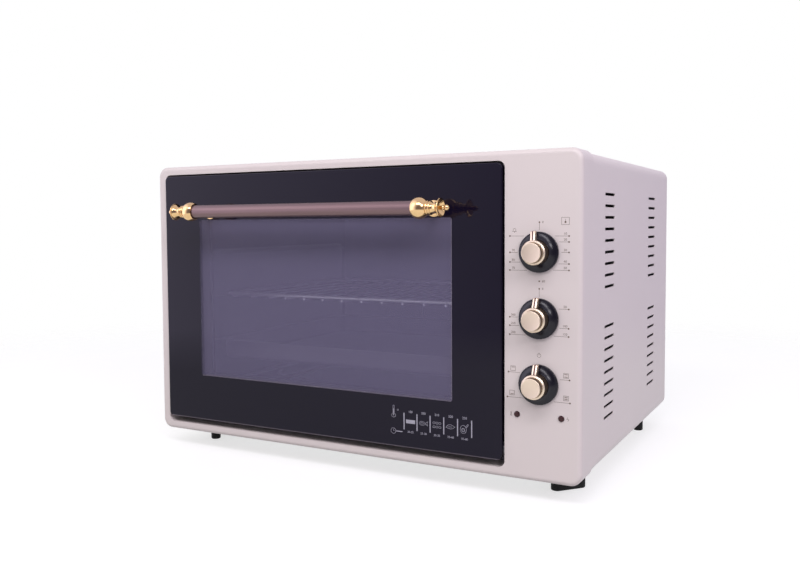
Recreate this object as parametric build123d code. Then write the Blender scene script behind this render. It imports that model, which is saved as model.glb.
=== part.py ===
"""Mini oven: a steel cabinet, a bottom-hinged glass door and three control knobs.

Millimetres, +X to the right seen from the front, +Y to the back, +Z up.  The origin is on the
surface that the feet stand on, in the middle of the oven's footprint with its handle.
"""
import os
from math import cos, radians, sin
from build123d import *

os.makedirs("parts", exist_ok=True)

# Body
body_width = 540
panel_height = 329
panel_depth = 38
body_depth = 414
foot_height = 22
corner_radius = 12
panel_edge_radius = 5
panel_wall = 2
sheet = 1
cabinet_side_step = 0.5
cabinet_top_step = 2
seam = 0.6
rear_flange = 14
bottom_flange = 54
lip_length = 10
lip_clearance = 0.3

# Side louvres
slot_length = 40
slot_height = 3
slot_pitch = 12.1
slots_per_group = 9
slot_group_gap = 42
slot_top_inset = 42.7
slot_front = 105
slot_rear = 98
slot_cut = 4

# Door opening and door
left_margin = 12.5
control_width = 78.5
opening_radius = 7
bottom_lip = 10
top_lip = 10
side_gap = 2
top_gap = 2
bottom_gap = 7.7
glass_thickness = 4
glass_proud = 3
glass_radius = 5.5
glass_edge = 1
window_side = 56.5
window_bottom = 72.5
window_top = 66
frame_inset = 6
frame_bottom_inset = 2.3
frame_depth = 20
frame_sheet = 1.5
frame_radius = 4
surround_wall = 1.5
inner_glass_overlap = 9
glazing_gap = 0.1
inner_glass_radius = 3

# Door hinge
hinge_back = 9
hinge_rise = 27
hinge_pin_radius = 3
hinge_running_gap = 0.05
hinge_head_radius = 4.5
hinge_head = 2
hinge_lug = 3
hinge_lug_radius = 6
bracket_nose_radius = 7
bracket_sheet = 2.5
bracket_gap = 2.5
bracket_height = 36
bracket_foot = 18
bracket_slot_gap = 0.4
stay_radius = 50
stay_width = 10
stay_sheet = 2
stay_inset = 6
stay_tail_angle = -20
stay_tooth = 4
stay_tooth_angle = 6
stay_slot_gap = 1
stay_foot = 14

# Handle
handle_drop = 56.5
handle_gap = 39
tube_radius = 7.5
tube_wall = 1.2
socket_depth = 5
handle_inset = 73
ball_radius = 11
post_radius = 5.5
post_flange_radius = 10
post_flange = 3
collar_radius = 9
ring_radius = 7.6
ring_end = 11
groove_radius = 6
groove_end = 12
small_ring_radius = 7.2
small_ring_end = 15
neck_radius = 5.2
neck_end = 17
bell_throat = 19
bell_middle = (21.3, 6.5)
bell_hollow = (21, 5.2)
bell_end = 24
bell_radius = 9.8
bell_wall = 0.8
finial_radius = 2.3
finial_tip_radius = 3
finial_tip_end_radius = 1.2
finial_tip = 6
finial_end = 33
handle_screw_radius = 2.5
handle_screw_grip = 12
screw_play = 0.2

# Controls
knob_shift = 3.45
knob_drop = 1.2
knob_pitch = 65.1
skirt_radius = 20
skirt_rim = 3
skirt_rise = 4.5
skirt_sag = 1.6
knob_gap = 1
cap_radius = 12
cap_length = 12.5
cap_seat = 6.5
cap_bore = 8
cap_chamfer = 1.2
cap_ledge = 2.3
cap_rise = 6
cap_edge = 0.5
cap_fit = 0.1
pointer_width = 5
pointer_reach = 21
pointer_base = 8.6
pointer_shoulder = 16
pointer_tip = (5.5, 11)
pointer_root = 2
timer_pointer_angle = 8
shaft_radius = 3
shaft_gap = 0.05
shaft_grip = 11
nut_radius = 8
nut_height = 3
panel_hole_gap = 1
bushing_radius = 5
bushing_length = 6
boss_radius = 4
boss_depth = 10
bracket_setback = 16
control_sheet = 1.2
control_plate_width = 34
timer_size = (46, 34)
thermostat_size = (42, 26)
selector_size = (44, 30)
control_radius = 4
control_plate_margin = 8
terminal_length = 8
terminal_width = 6
terminal_sheet = 0.8

# Lamps
lamp_spacing = 45.2
lamp_drop = 31.9
lens_radius = 3
lens_play = 0.15
lens_proud = 1.6
lens_depth = 6
lamp_holder_radius = 4.5
lamp_holder_length = 18

# Cavity
cavity_side = 24.5
cavity_floor = 30
cavity_roof = 31
cavity_rear = 29
cavity_radius = 6
flange_setback = 25
flange_margin = 2
shield_gap = 4.5

# Rails, rack and tray
rail_count = 4
rail_first = 23
rail_last = 23
rail_reach = 9
rail_thickness = 3
rail_sheet = 1.5
rail_inset = 12
rest_gap = 0.3
rack_front = 75
rack_rear = 10
rack_wire_radius = 2.5
rack_bar_radius = 1.5
rack_bars = 14
rack_side_gap = 3
rack_corner = 12
rack_weld = 0.6
tray_front = 48
tray_rear = 12
tray_side_gap = 3
tray_height = 24
tray_rim = 9
tray_wall = 1
tray_radius = 14
tray_floor_radius = 6

# Heating elements
heater_radius = 3.25
heater_front = 85
heater_rear = 70
heater_side_gap = 35
heater_bend = 30
heater_from_wall = 12
heater_outside = 12
bead_radius = 5.5
bead_length = 9
heater_clip_width = 10
heater_clip_foot = 8
heater_hole_gap = 0.3
bulb_radius = 3
bulb_length = 90
bulb_drop = 83
bulb_rear = 40
capillary_radius = 1
capillary_bend = 8
capillary_back = 120
capillary_gap = 16

# Back and bottom
screw_radius = 1.75
screw_head_radius = 3.5
screw_head = 2
back_screw_grip = 6
gland_radius = 9
gland_bore = 4
gland_length = 12
gland_inset = 50
gland_height = 45
gland_collar = 2
gland_flange = 2
terminal_block_size = (44, 20, 18)
terminal_block_inset = 85
terminal_block_gap = 1
terminal_well_radius = 3
terminal_well_depth = 6
vent_rows = 5
vent_columns = 6
vent_pitch_x = 52
vent_pitch_z = 12
vent_top = 34

# Feet
foot_length = 40
foot_width = 12
foot_angle = 50
foot_inset = 32
foot_front = 64
foot_rear = 50
foot_screw_grip = 12
foot_edge = 1.5

# Places worked out from the sizes
half_width = body_width / 2
handle_reach = handle_gap + ball_radius
face = (handle_reach - body_depth - gland_collar) / 2
back = face + body_depth
base = foot_height
top = base + panel_height
opening_left = -half_width + left_margin
opening_right = half_width - control_width
opening_width = opening_right - opening_left
opening_bottom = base + bottom_lip
opening_top = top - top_lip
door_offset = (opening_left + opening_right) / 2
glass_front = face - glass_proud
glass_back = glass_front + glass_thickness
glass_left = opening_left + side_gap
glass_right = opening_right - side_gap
glass_bottom = opening_bottom + bottom_gap
glass_top = opening_top - top_gap
window_left = opening_left + window_side
window_right = opening_right - window_side
window_low = base + window_bottom
window_high = top - window_top
frame_left = glass_left + frame_inset
frame_right = glass_right - frame_inset
frame_bottom = glass_bottom + frame_bottom_inset
frame_top = glass_top - frame_bottom_inset
frame_back = glass_back + frame_depth
hinge_y = face + hinge_back
hinge_z = base + hinge_rise
flange_front = face + flange_setback
flange_back = flange_front + sheet
cabinet_left = -half_width + cabinet_side_step
cabinet_right = half_width - cabinet_side_step
cabinet_low = base + cabinet_top_step
cabinet_high = top - cabinet_top_step
cabinet_front = face + panel_depth + seam
panel_inner = half_width - panel_wall
cavity_left = opening_left + cavity_side
cavity_right = opening_right - cavity_side
cavity_width = cavity_right - cavity_left
cavity_low = base + cavity_floor
cavity_high = top - cavity_roof
cavity_back = back - cavity_rear
shield_x = opening_right + shield_gap
knob_front = face - knob_gap
bracket_front = face + bracket_setback
bracket_back = bracket_front + control_sheet
handle_y = face - handle_gap
handle_z = top - handle_drop
handle_span = opening_width - 2 * handle_inset
knob_offset = (opening_right + half_width) / 2 - knob_shift
knob_middle = (base + top) / 2 - knob_drop
knob_heights = [knob_middle + knob_pitch * n for n in (1, 0, -1)]
boss_heights = [knob_middle + knob_pitch * n for n in (-1.5, -0.5, 0.5, 1.5)]
lamp_z = knob_heights[-1] - lamp_drop
lamp_places = [knob_offset + side * lamp_spacing / 2 for side in (-1, 1)]
rail_pitch = (cavity_high - cavity_low - rail_first - rail_last) / rail_count
rail_tops = [cavity_low + rail_first + rail_pitch * n for n in range(rail_count)]
rack_depth = cavity_back - rack_rear - face - rack_front
tray_depth = cavity_back - tray_rear - face - tray_front
heater_back = cavity_back - heater_rear - face
bulb_y = cavity_back - bulb_rear
bulb_z = top - bulb_drop
gland_x = half_width - gland_inset
gland_z = base + gland_height
bottom_front = cabinet_front + sheet + rest_gap
heater_heights = (cavity_low + heater_from_wall, cavity_high - heater_from_wall)
post_places = [door_offset + side * handle_span / 2 for side in (-1, 1)]
inner_glass_front = frame_back - frame_sheet - glazing_gap - glass_thickness
ball_start = (ball_radius ** 2 - collar_radius ** 2) ** 0.5
socket_bottom = ball_start - socket_depth
foot_places = [(side, end, side * (half_width - foot_inset), y)
               for end, y in ((1, face + foot_front), (-1, back - foot_rear)) for side in (-1, 1)]


def block(x0, x1, y0, y1, z0, z1):
    """A block between two opposite corners."""
    return Pos((x0 + x1) / 2, (y0 + y1) / 2, (z0 + z1) / 2) * Box(x1 - x0, y1 - y0, z1 - z0)


def slab(x0, x1, z0, z1, y0, y1, radius):
    """A block whose four edges along Y are rounded."""
    plane = Plane(((x0 + x1) / 2, y1, (z0 + z1) / 2), x_dir=(1, 0, 0), z_dir=(0, -1, 0))
    return extrude(plane * RectangleRounded(x1 - x0, z1 - z0, radius), y1 - y0)


def rod_x(y, z, radius, x0, x1):
    """A round rod along X."""
    plane = Plane((x0, y, z), x_dir=(0, 1, 0), z_dir=(1, 0, 0))
    return extrude(plane * Circle(radius), x1 - x0)


def rod_y(x, z, radius, y0, y1):
    """A round rod along Y."""
    plane = Plane((x, y0, z), x_dir=(1, 0, 0), z_dir=(0, 1, 0))
    return extrude(plane * Circle(radius), y1 - y0)


def rod_z(x, y, radius, z0, z1):
    """A round rod along Z."""
    return extrude(Plane((x, y, z0)) * Circle(radius), z1 - z0)


def screw(tip, head, radius, head_radius, head_height):
    """A screw from its tip to the underside of its head, with a rounded head."""
    axis = Vector(*head) - Vector(*tip)
    plane = Plane(Vector(*tip), z_dir=axis)
    shank = extrude(plane * Circle(radius), axis.length)
    cap = extrude(plane.offset(axis.length) * Circle(head_radius), head_height)
    outer = cap.edges().sort_by(lambda edge: plane.to_local_coords(edge.center()).Z)[-1]
    return shank + fillet(outer, head_height * 0.6)


def save(shape, node):
    """Write one sub-part under its own name."""
    export_step(shape, f"parts/{node}.step")


def front_panel():
    """The front frame: a shallow pan with the door opening and the control area."""
    pan = slab(-half_width, half_width, base, top, face, face + panel_depth, corner_radius)
    pan = fillet(pan.edges().group_by(Axis.Y)[0], panel_edge_radius)
    hollow = slab(-panel_inner, panel_inner, base + panel_wall, top - panel_wall,
                  face + panel_wall, face + panel_depth, corner_radius - panel_wall)
    hollow = fillet(hollow.edges().group_by(Axis.Y)[0], panel_edge_radius - panel_wall)
    rim = slab(opening_left - panel_wall, opening_right + panel_wall, opening_bottom - panel_wall,
               opening_top + panel_wall, face + panel_wall, flange_front, opening_radius + panel_wall)
    opening = slab(opening_left, opening_right, opening_bottom, opening_top,
                   face - 1, flange_front + 1, opening_radius)
    bosses = [rod_y(knob_offset, z, boss_radius, face + panel_wall, bracket_front) for z in boss_heights]
    pan = pan - hollow + rim + bosses - opening
    pilots = [rod_y(knob_offset, z, screw_radius + screw_play, bracket_front - boss_depth, bracket_front)
              for z in boss_heights]
    shafts = [rod_y(knob_offset, z, shaft_radius + panel_hole_gap, face - 1, face + panel_wall + 1)
              for z in knob_heights]
    lamps = [rod_y(x, lamp_z, lens_radius + lens_play, face - 1, face + panel_wall + 1)
             for x in lamp_places]
    return pan - pilots - shafts - lamps


def cabinet_shell():
    """The cabinet: top and sides in one bent sheet, turned in below and at the back."""
    outer = slab(cabinet_left, cabinet_right, cabinet_low, cabinet_high, cabinet_front,
                 back - sheet, corner_radius)
    inner = slab(cabinet_left + sheet, cabinet_right - sheet, cabinet_low + sheet, cabinet_high - sheet,
                 cabinet_front - 1, back - 2 * sheet, corner_radius - sheet)
    rear = slab(cabinet_left + rear_flange, cabinet_right - rear_flange, cabinet_low + rear_flange,
                cabinet_high - rear_flange, back - 3 * sheet, back, corner_radius)
    belly = block(cabinet_left + bottom_flange, cabinet_right - bottom_flange, cabinet_front - 1,
                  back - rear_flange, cabinet_low - 1, cabinet_low + sheet + 1)
    holes = [rod_z(x, y, screw_radius + screw_play, cabinet_low - 1, cabinet_low + 2 * sheet)
             for _, _, x, y in foot_places]
    return outer - inner - rear - belly + panel_lip() - side_slots() - rear_screw_holes() - holes


def panel_lip():
    """The joggled edge that reaches from the cabinet into the front panel."""
    step = panel_wall + lip_clearance
    lip_front = face + panel_depth - lip_length
    joggle = slab(cabinet_left, cabinet_right, cabinet_low, cabinet_high, cabinet_front,
                  cabinet_front + sheet, corner_radius)
    outer = slab(-half_width + step, half_width - step, base + step, top - step, lip_front,
                 cabinet_front + sheet, corner_radius - step)
    step = step + sheet
    inner = slab(-half_width + step, half_width - step, base + step, top - step, lip_front - 1,
                 cabinet_front + sheet + 1, corner_radius - step)
    belly = block(cabinet_left + bottom_flange, cabinet_right - bottom_flange, lip_front - 1,
                  cabinet_front + sheet + 1, base, base + step + 1)
    return joggle + outer - inner - belly


def side_slots():
    """Both sides' ventilation slots, as one cutter for each slot."""
    drop = slot_pitch * (slots_per_group - 1) + slot_group_gap
    rows = [top - slot_top_inset - slot_pitch * n - drop * group
            for group in (0, 1) for n in range(slots_per_group)]
    cutters = []
    for side in (-1, 1):
        for y in (face + slot_front, back - slot_rear):
            for row in rows:
                plane = Plane((side * (half_width - slot_cut + sheet), y, row),
                              x_dir=(0, 1, 0), z_dir=(side, 0, 0))
                cutters.append(extrude(plane * SlotOverall(slot_length, slot_height), slot_cut))
    return cutters


def rear_screw_places():
    """Where the back panel is screwed to the cabinet's rear flange."""
    low, high = cabinet_low + rear_flange / 2, cabinet_high - rear_flange / 2
    left, right = cabinet_left + rear_flange / 2, cabinet_right - rear_flange / 2
    middle = (low + high) / 2
    return [(x, z) for x in (left, 0, right) for z in (low, high)] + [(left, middle), (right, middle)]


def rear_screw_holes():
    """Clearance holes for the back panel's screws."""
    return [rod_y(x, z, screw_radius + screw_play, back - 3 * sheet, back + 1)
            for x, z in rear_screw_places()]


def back_panel():
    """The rear cover, with rows of vent slots and the cable's hole."""
    plate = slab(cabinet_left, cabinet_right, cabinet_low, cabinet_high, back - sheet, back, corner_radius)
    vents = []
    for row in range(vent_rows):
        for column in range(vent_columns):
            x = vent_pitch_x * (column - (vent_columns - 1) / 2)
            plane = Plane((x, back - 2 * sheet, cabinet_high - vent_top - vent_pitch_z * row),
                          x_dir=(1, 0, 0), z_dir=(0, 1, 0))
            vents.append(extrude(plane * SlotOverall(slot_length, slot_height), 3 * sheet))
    gland_hole = rod_y(gland_x, gland_z, gland_radius + lens_play, back - 2 * sheet, back + 1)
    return plate - vents - gland_hole - rear_screw_holes()


def back_screws():
    """The screws of the back panel, driven from behind."""
    return [screw((x, back - back_screw_grip, z), (x, back, z), screw_radius, screw_head_radius, screw_head)
            for x, z in rear_screw_places()]


def cable_gland():
    """The bush that the mains lead passes through, empty here."""
    bush = rod_y(gland_x, gland_z, gland_radius, back - gland_length, back)
    collar = rod_y(gland_x, gland_z, gland_radius + gland_flange, back, back + gland_collar)
    inner = rod_y(gland_x, gland_z, gland_radius + gland_flange, back - sheet - gland_collar, back - sheet)
    bore = rod_y(gland_x, gland_z, gland_bore, back - gland_length - 1, back + gland_collar + 1)
    return bush + collar + inner - bore


def bottom_panel():
    """The bottom plate, resting on the cabinet's turned-in edges."""
    low = cabinet_low + sheet
    plate = block(cabinet_left + corner_radius, cabinet_right - corner_radius, bottom_front,
                  back - 2 * sheet - rest_gap, low, low + sheet)
    holes = [rod_z(x, y, screw_radius + screw_play, low - 1, low + 2 * sheet)
             for _, _, x, y in foot_places]
    return plate - holes


def foot(side, end, x, y):
    """One foot: an oval rubber block set across its corner."""
    plane = Plane((x, y, 0)).rotated((0, 0, side * end * foot_angle))
    body = extrude(plane * SlotOverall(foot_length, foot_width), cabinet_low)
    body = fillet(body.edges().group_by(Axis.Z)[0], foot_edge)
    return body - rod_z(x, y, screw_radius, cabinet_low - foot_screw_grip, cabinet_low + 1)


def foot_screws():
    """The screws that hold the feet, driven from inside."""
    high = cabinet_low + 2 * sheet
    return [screw((x, y, cabinet_low - foot_screw_grip + 1), (x, y, high), screw_radius,
                  screw_head_radius, screw_head) for _, _, x, y in foot_places]


def cavity_liner():
    """The enamelled oven chamber with its front flange."""
    flange = slab(-panel_inner + flange_margin, shield_x, base + panel_wall + flange_margin,
                  top - panel_wall - flange_margin, flange_front, flange_back, cavity_radius)
    outer = slab(cavity_left - sheet, cavity_right + sheet, cavity_low - sheet, cavity_high + sheet,
                 flange_front, cavity_back + sheet, cavity_radius + sheet)
    inner = slab(cavity_left, cavity_right, cavity_low, cavity_high, flange_front - 1, cavity_back,
                 cavity_radius)
    rods = [rod_x(face + y, z, heater_radius + heater_hole_gap, cavity_right - 1, cavity_right + 2 * sheet)
            for z in heater_heights for y in (heater_front, heater_back)]
    bulb = rod_x(bulb_y, bulb_z, bulb_radius + heater_hole_gap,
                 cavity_right - 1, cavity_right + 2 * sheet)
    slots = [piece for side in (-1, 1) for piece in (bracket_slot(side), stay_slot(side))]
    return flange + outer - inner - rods - bulb - slots


def door_x(side, distance):
    """A place counted inwards from one edge of the door opening."""
    return door_offset + side * (opening_width / 2 - distance)


def across(side, near, far, y0, y1, z0, z1):
    """A block whose sides are counted inwards from one edge of the door opening."""
    left, right = sorted((door_x(side, near), door_x(side, far)))
    return block(left, right, y0, y1, z0, z1)


def bracket_slot(side):
    """The slot that a hinge bracket's ear comes through."""
    gap = bracket_slot_gap
    return across(side, bracket_gap - gap, bracket_gap + bracket_sheet + gap, flange_front - 1,
                  flange_back + 1, hinge_z - bracket_nose_radius - gap, hinge_z + bracket_nose_radius + gap)


def hinge_bracket(side):
    """A steel ear in front of the flange and its foot behind it."""
    ear_in = bracket_gap + bracket_sheet
    low = hinge_z - bracket_nose_radius
    left, right = sorted((door_x(side, bracket_gap), door_x(side, ear_in)))
    nose = rod_x(hinge_y, hinge_z, bracket_nose_radius, left, right)
    ear = across(side, bracket_gap, ear_in, hinge_y, flange_back + bracket_sheet, low,
                 hinge_z + bracket_nose_radius)
    foot_plate = across(side, bracket_gap, bracket_gap + bracket_foot, flange_back,
                        flange_back + bracket_sheet, low, low + bracket_height)
    hole = rod_x(hinge_y, hinge_z, hinge_pin_radius, left - 1, right + 1)
    return nose + ear + foot_plate - hole


def hinge_pin(side):
    """A headed pin, riveted in its bracket and reaching into the door frame."""
    ear = door_x(side, bracket_gap)
    head_end = door_x(side, bracket_gap - hinge_head)
    tip = door_x(side, frame_inset + side_gap + frame_sheet + hinge_lug + 1)
    head = rod_x(hinge_y, hinge_z, hinge_head_radius, min(ear, head_end), max(ear, head_end))
    return head + rod_x(hinge_y, hinge_z, hinge_pin_radius, min(ear, tip), max(ear, tip))


def arc_plate(side, inner, outer, start, end):
    """A flat ring sector about the hinge axis, in the plane of a stay."""
    x = door_x(side, side_gap + frame_inset + stay_inset + stay_sheet / 2)
    plane = Plane((x - stay_sheet / 2, hinge_y, hinge_z), x_dir=(0, 1, 0), z_dir=(1, 0, 0))
    ring = Circle(outer) - Circle(inner)
    reach = 2 * outer
    corners = [(0, 0)] + [(reach * cos(radians(angle)), reach * sin(radians(angle)))
                          for angle in (start, (start + end) / 2, end)]
    return extrude(plane * (ring & make_face(Polyline(*corners, close=True))), stay_sheet)


def stay(side):
    """A curved arm on the door that slides through the flange and stops the door when open."""
    inner, outer = stay_radius - stay_width / 2, stay_radius + stay_width / 2
    arm = arc_plate(side, inner, outer, stay_tail_angle, 90)
    arm += arc_plate(side, inner, outer + stay_tooth, stay_tail_angle, stay_tail_angle + stay_tooth_angle)
    near = side_gap + frame_inset + stay_inset
    plate = across(side, near, near + stay_foot, frame_back, frame_back + frame_sheet,
                   hinge_z + inner - stay_tooth, hinge_z + outer + stay_tooth)
    return arm - across(side, near - 1, near + stay_sheet + 1, hinge_y - outer, frame_back,
                        hinge_z - outer, hinge_z + 2 * outer) + plate


def stay_slot(side):
    """The slot in the flange that a stay slides through."""
    near = side_gap + frame_inset + stay_inset
    depth = flange_back - hinge_y
    low = (stay_radius - stay_width / 2) ** 2 - depth ** 2
    high = (stay_radius + stay_width / 2) ** 2 - (flange_front - hinge_y) ** 2
    near, far = near - stay_slot_gap, near + stay_sheet + stay_slot_gap
    return across(side, near, far, flange_front - 1, flange_back + 1,
                  hinge_z + low ** 0.5 - stay_slot_gap, hinge_z + high ** 0.5 + stay_slot_gap)


def door_outer_glass():
    """The outer pane, standing a little proud of the front panel."""
    pane = slab(glass_left, glass_right, glass_bottom, glass_top, glass_front, glass_back, glass_radius)
    pane = fillet(pane.edges().group_by(Axis.Y)[0], glass_edge)
    holes = [rod_y(x, handle_z, handle_screw_radius + screw_play, glass_front - 1, glass_back + 1)
             for x in post_places]
    return pane - holes


def door_frame():
    """The pressed steel pan behind the outer pane, with the hinge lugs."""
    pan = slab(frame_left, frame_right, frame_bottom, frame_top, glass_back, frame_back, frame_radius)
    hollow = slab(frame_left + frame_sheet, frame_right - frame_sheet, frame_bottom + frame_sheet,
                  frame_top - frame_sheet, glass_back - 1, frame_back - frame_sheet,
                  frame_radius - frame_sheet)
    window = block(window_left, window_right, glass_back, frame_back + 1, window_low, window_high)
    pan = pan - hollow - window
    for side in (-1, 1):
        edge = side_gap + frame_inset
        ends = sorted((door_x(side, edge), door_x(side, edge + frame_sheet + hinge_lug)))
        pan += rod_x(hinge_y, hinge_z, hinge_lug_radius, *ends)
        pan -= rod_x(hinge_y, hinge_z, hinge_pin_radius + hinge_running_gap, ends[0] - 1, ends[1] + 1)
    return pan


def window_surround():
    """The four-sided spacer between the two panes."""
    wall = surround_wall
    outer = block(window_left - wall, window_right + wall, glass_back, inner_glass_front - glazing_gap,
                  window_low - wall, window_high + wall)
    hole = block(window_left, window_right, glass_back - 1, inner_glass_front + 1, window_low, window_high)
    return outer - hole


def door_inner_glass():
    """The inner pane, held between the spacer and the frame."""
    lap = inner_glass_overlap
    return slab(window_left - lap, window_right + lap, window_low - lap, window_high + lap,
                inner_glass_front, inner_glass_front + glass_thickness, inner_glass_radius)


def turned(origin, direction, edges):
    """A turned piece; its half outline is drawn as distance along the axis and radius."""
    plane = Plane(origin, x_dir=direction)
    return revolve(plane * make_face(edges), Axis(origin, direction))


def handle_end(side):
    """A turned brass end: ball, two rings, flared bell and finial, on a post."""
    x = door_offset + side * handle_span / 2
    ball_end = (ball_radius ** 2 - ring_radius ** 2) ** 0.5
    tip_start, tip_stop = finial_end - finial_tip, finial_end - finial_tip / 6
    outline = [
        Line((-ball_start, 0), (-ball_start, collar_radius)),
        ThreePointArc((-ball_start, collar_radius), (0, ball_radius), (ball_end, ring_radius)),
        Polyline((ball_end, ring_radius), (ring_end, ring_radius), (ring_end, groove_radius),
                 (groove_end, groove_radius), (groove_end, small_ring_radius),
                 (small_ring_end, small_ring_radius), (small_ring_end, neck_radius), (neck_end, neck_radius)),
        ThreePointArc((neck_end, neck_radius), bell_middle, (bell_end, bell_radius)),
        Line((bell_end, bell_radius), (bell_end, bell_radius - bell_wall)),
        ThreePointArc((bell_end, bell_radius - bell_wall), bell_hollow, (bell_throat, finial_radius)),
        Line((bell_throat, finial_radius), (tip_start, finial_radius)),
        ThreePointArc((tip_start, finial_radius), ((tip_start + tip_stop) / 2, finial_tip_radius),
                      (tip_stop, finial_tip_end_radius)),
        Polyline((tip_stop, finial_tip_end_radius), (finial_end, 0), (-ball_start, 0)),
    ]
    end = turned((x, handle_y, handle_z), (side, 0, 0), outline)
    end += rod_y(x, handle_z, post_radius, handle_y, glass_front)
    end += rod_y(x, handle_z, post_flange_radius, glass_front - post_flange, glass_front)
    socket_end = x - side * socket_bottom
    socket_mouth = x - side * (ball_radius + 1)
    end -= rod_x(handle_y, handle_z, tube_radius + shaft_gap, min(socket_end, socket_mouth),
                 max(socket_end, socket_mouth))
    return end - rod_y(x, handle_z, handle_screw_radius + shaft_gap, glass_front - handle_screw_grip - 1,
                       glass_front + 1)


def handle_tube():
    """The handle's tube, seated in the two ends."""
    half = handle_span / 2 - socket_bottom
    ends = (door_offset - half, door_offset + half)
    return (rod_x(handle_y, handle_z, tube_radius, *ends)
            - rod_x(handle_y, handle_z, tube_radius - tube_wall, ends[0] - 1, ends[1] + 1))


def handle_screws():
    """The screws that hold the handle through the outer pane."""
    return [screw((x, glass_front - handle_screw_grip, handle_z), (x, glass_back, handle_z),
                  handle_screw_radius, hinge_head_radius, screw_head) for x in post_places]


def knob_skirt(z):
    """The dished black skirt of a knob."""
    rim, rise = skirt_rim, skirt_rim + skirt_rise
    seat = cap_radius + 5 * cap_fit
    outline = [
        Polyline((cap_seat, seat), (cap_seat, shaft_radius + shaft_gap), (0, shaft_radius + shaft_gap),
                 (0, skirt_radius), (rim, skirt_radius)),
        ThreePointArc((rim, skirt_radius), (rim + skirt_sag, (skirt_radius + seat) / 2), (rise, seat)),
        Line((rise, seat), (cap_seat, seat)),
    ]
    return turned((knob_offset, knob_front, z), (0, -1, 0), outline)


def knob_cap(z, lean):
    """The stepped metal cap of a knob with its pointer, leaning anticlockwise by some degrees."""
    step, face = cap_seat + cap_length, cap_radius - cap_ledge
    front = step + cap_rise
    outline = Polyline((cap_seat, 0), (cap_seat, cap_radius), (step - cap_chamfer, cap_radius),
                       (step, cap_radius - cap_chamfer), (step, face), (front - cap_edge, face),
                       (front, face - cap_edge), (front, 0), close=True)
    cap = turned((knob_offset, knob_front, z), (0, -1, 0), [outline])
    plane = Plane((knob_offset - pointer_width / 2, knob_front, z), x_dir=(0, -1, 0), z_dir=(1, 0, 0))
    inner = cap_radius - pointer_root
    low, high = pointer_tip
    fin = make_face(Polyline((pointer_base, -inner), (low, -pointer_reach), (high, -pointer_reach),
                             (pointer_shoulder, -inner), close=True))
    cap += extrude(plane * fin, pointer_width)
    cap -= rod_y(knob_offset, z, shaft_radius + shaft_gap, knob_front - cap_seat - cap_bore,
                 knob_front)
    return cap.rotate(Axis((knob_offset, 0, z), (0, 1, 0)), -lean)


def knob_shaft(z):
    """The steel shaft from a knob into its control."""
    return rod_y(knob_offset, z, shaft_radius, knob_front - cap_seat - cap_bore + rest_gap,
                 bracket_back + shaft_grip - rest_gap)


def control_body(z, size):
    """A control with its threaded bushing and its terminals."""
    width, depth = size
    body = slab(knob_offset - width / 2, knob_offset + width / 2, z - width / 2, z + width / 2,
                bracket_back, bracket_back + depth, control_radius)
    bushing = rod_y(knob_offset, z, bushing_radius, bracket_back - bushing_length, bracket_back)
    bore = rod_y(knob_offset, z, shaft_radius + shaft_gap, bracket_back - bushing_length - 1,
                 bracket_back + shaft_grip)
    half, thin = terminal_width / 2, terminal_sheet / 2
    blades = [block(x - half, x + half, bracket_back + depth, bracket_back + depth + terminal_length,
                    z + rise - thin, z + rise + thin)
              for x in (knob_offset - width / 4, knob_offset + width / 4) for rise in (-width / 4, width / 4)]
    return body + bushing + blades - bore


def bushing_nuts():
    """The hexagon nuts that hold the controls to their bracket."""
    nuts = []
    for z in knob_heights:
        plane = Plane((knob_offset, bracket_front - nut_height, z), x_dir=(1, 0, 0), z_dir=(0, 1, 0))
        profile = RegularPolygon(nut_radius, 6) - Circle(bushing_radius + shaft_gap)
        nuts.append(extrude(plane * profile, nut_height))
    return nuts


def control_bracket():
    """The plate behind the front panel that carries the controls."""
    plate = block(knob_offset - control_plate_width / 2, knob_offset + control_plate_width / 2,
                  bracket_front, bracket_back, boss_heights[0] - control_plate_margin,
                  boss_heights[-1] + control_plate_margin)
    holes = [rod_y(knob_offset, z, bushing_radius + screw_play, bracket_front - 1, bracket_back + 1)
             for z in knob_heights]
    screws = [rod_y(knob_offset, z, screw_radius + screw_play, bracket_front - 1, bracket_back + 1)
              for z in boss_heights]
    return plate - holes - screws


def bracket_screws():
    """The screws that hold the control bracket to the front panel."""
    return [screw((knob_offset, bracket_front - boss_depth + 1, z), (knob_offset, bracket_back, z),
                  screw_radius, screw_head_radius, screw_head) for z in boss_heights]


def lamp_lens(x):
    """A round lens with a domed front."""
    lens = rod_y(x, lamp_z, lens_radius, face - lens_proud, face + panel_wall + lens_depth)
    return fillet(lens.edges().sort_by(Axis.Y)[0], lens_proud * 0.8)


def lamp_holder(x):
    """The lamp body behind a lens."""
    start = face + panel_wall
    holder = rod_y(x, lamp_z, lamp_holder_radius, start, start + lamp_holder_length)
    return holder - rod_y(x, lamp_z, lens_radius + shaft_gap, start - 1,
                          start + lens_depth + rest_gap)


def side_rail(side):
    """A pressed plate on the chamber's side with one ledge for each level."""
    wall = door_offset + side * cavity_width / 2
    front, rear = flange_back + rail_inset, cavity_back - rail_inset
    inner = wall - side * rail_sheet
    plate = block(min(wall, inner), max(wall, inner), front, rear, rail_tops[0] - 2 * rail_thickness,
                  rail_tops[-1] + 2 * rail_thickness)
    reach = wall - side * rail_reach
    ledges = [block(min(wall, reach), max(wall, reach), front, rear, z - rail_thickness, z)
              for z in rail_tops]
    return plate + ledges


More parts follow.
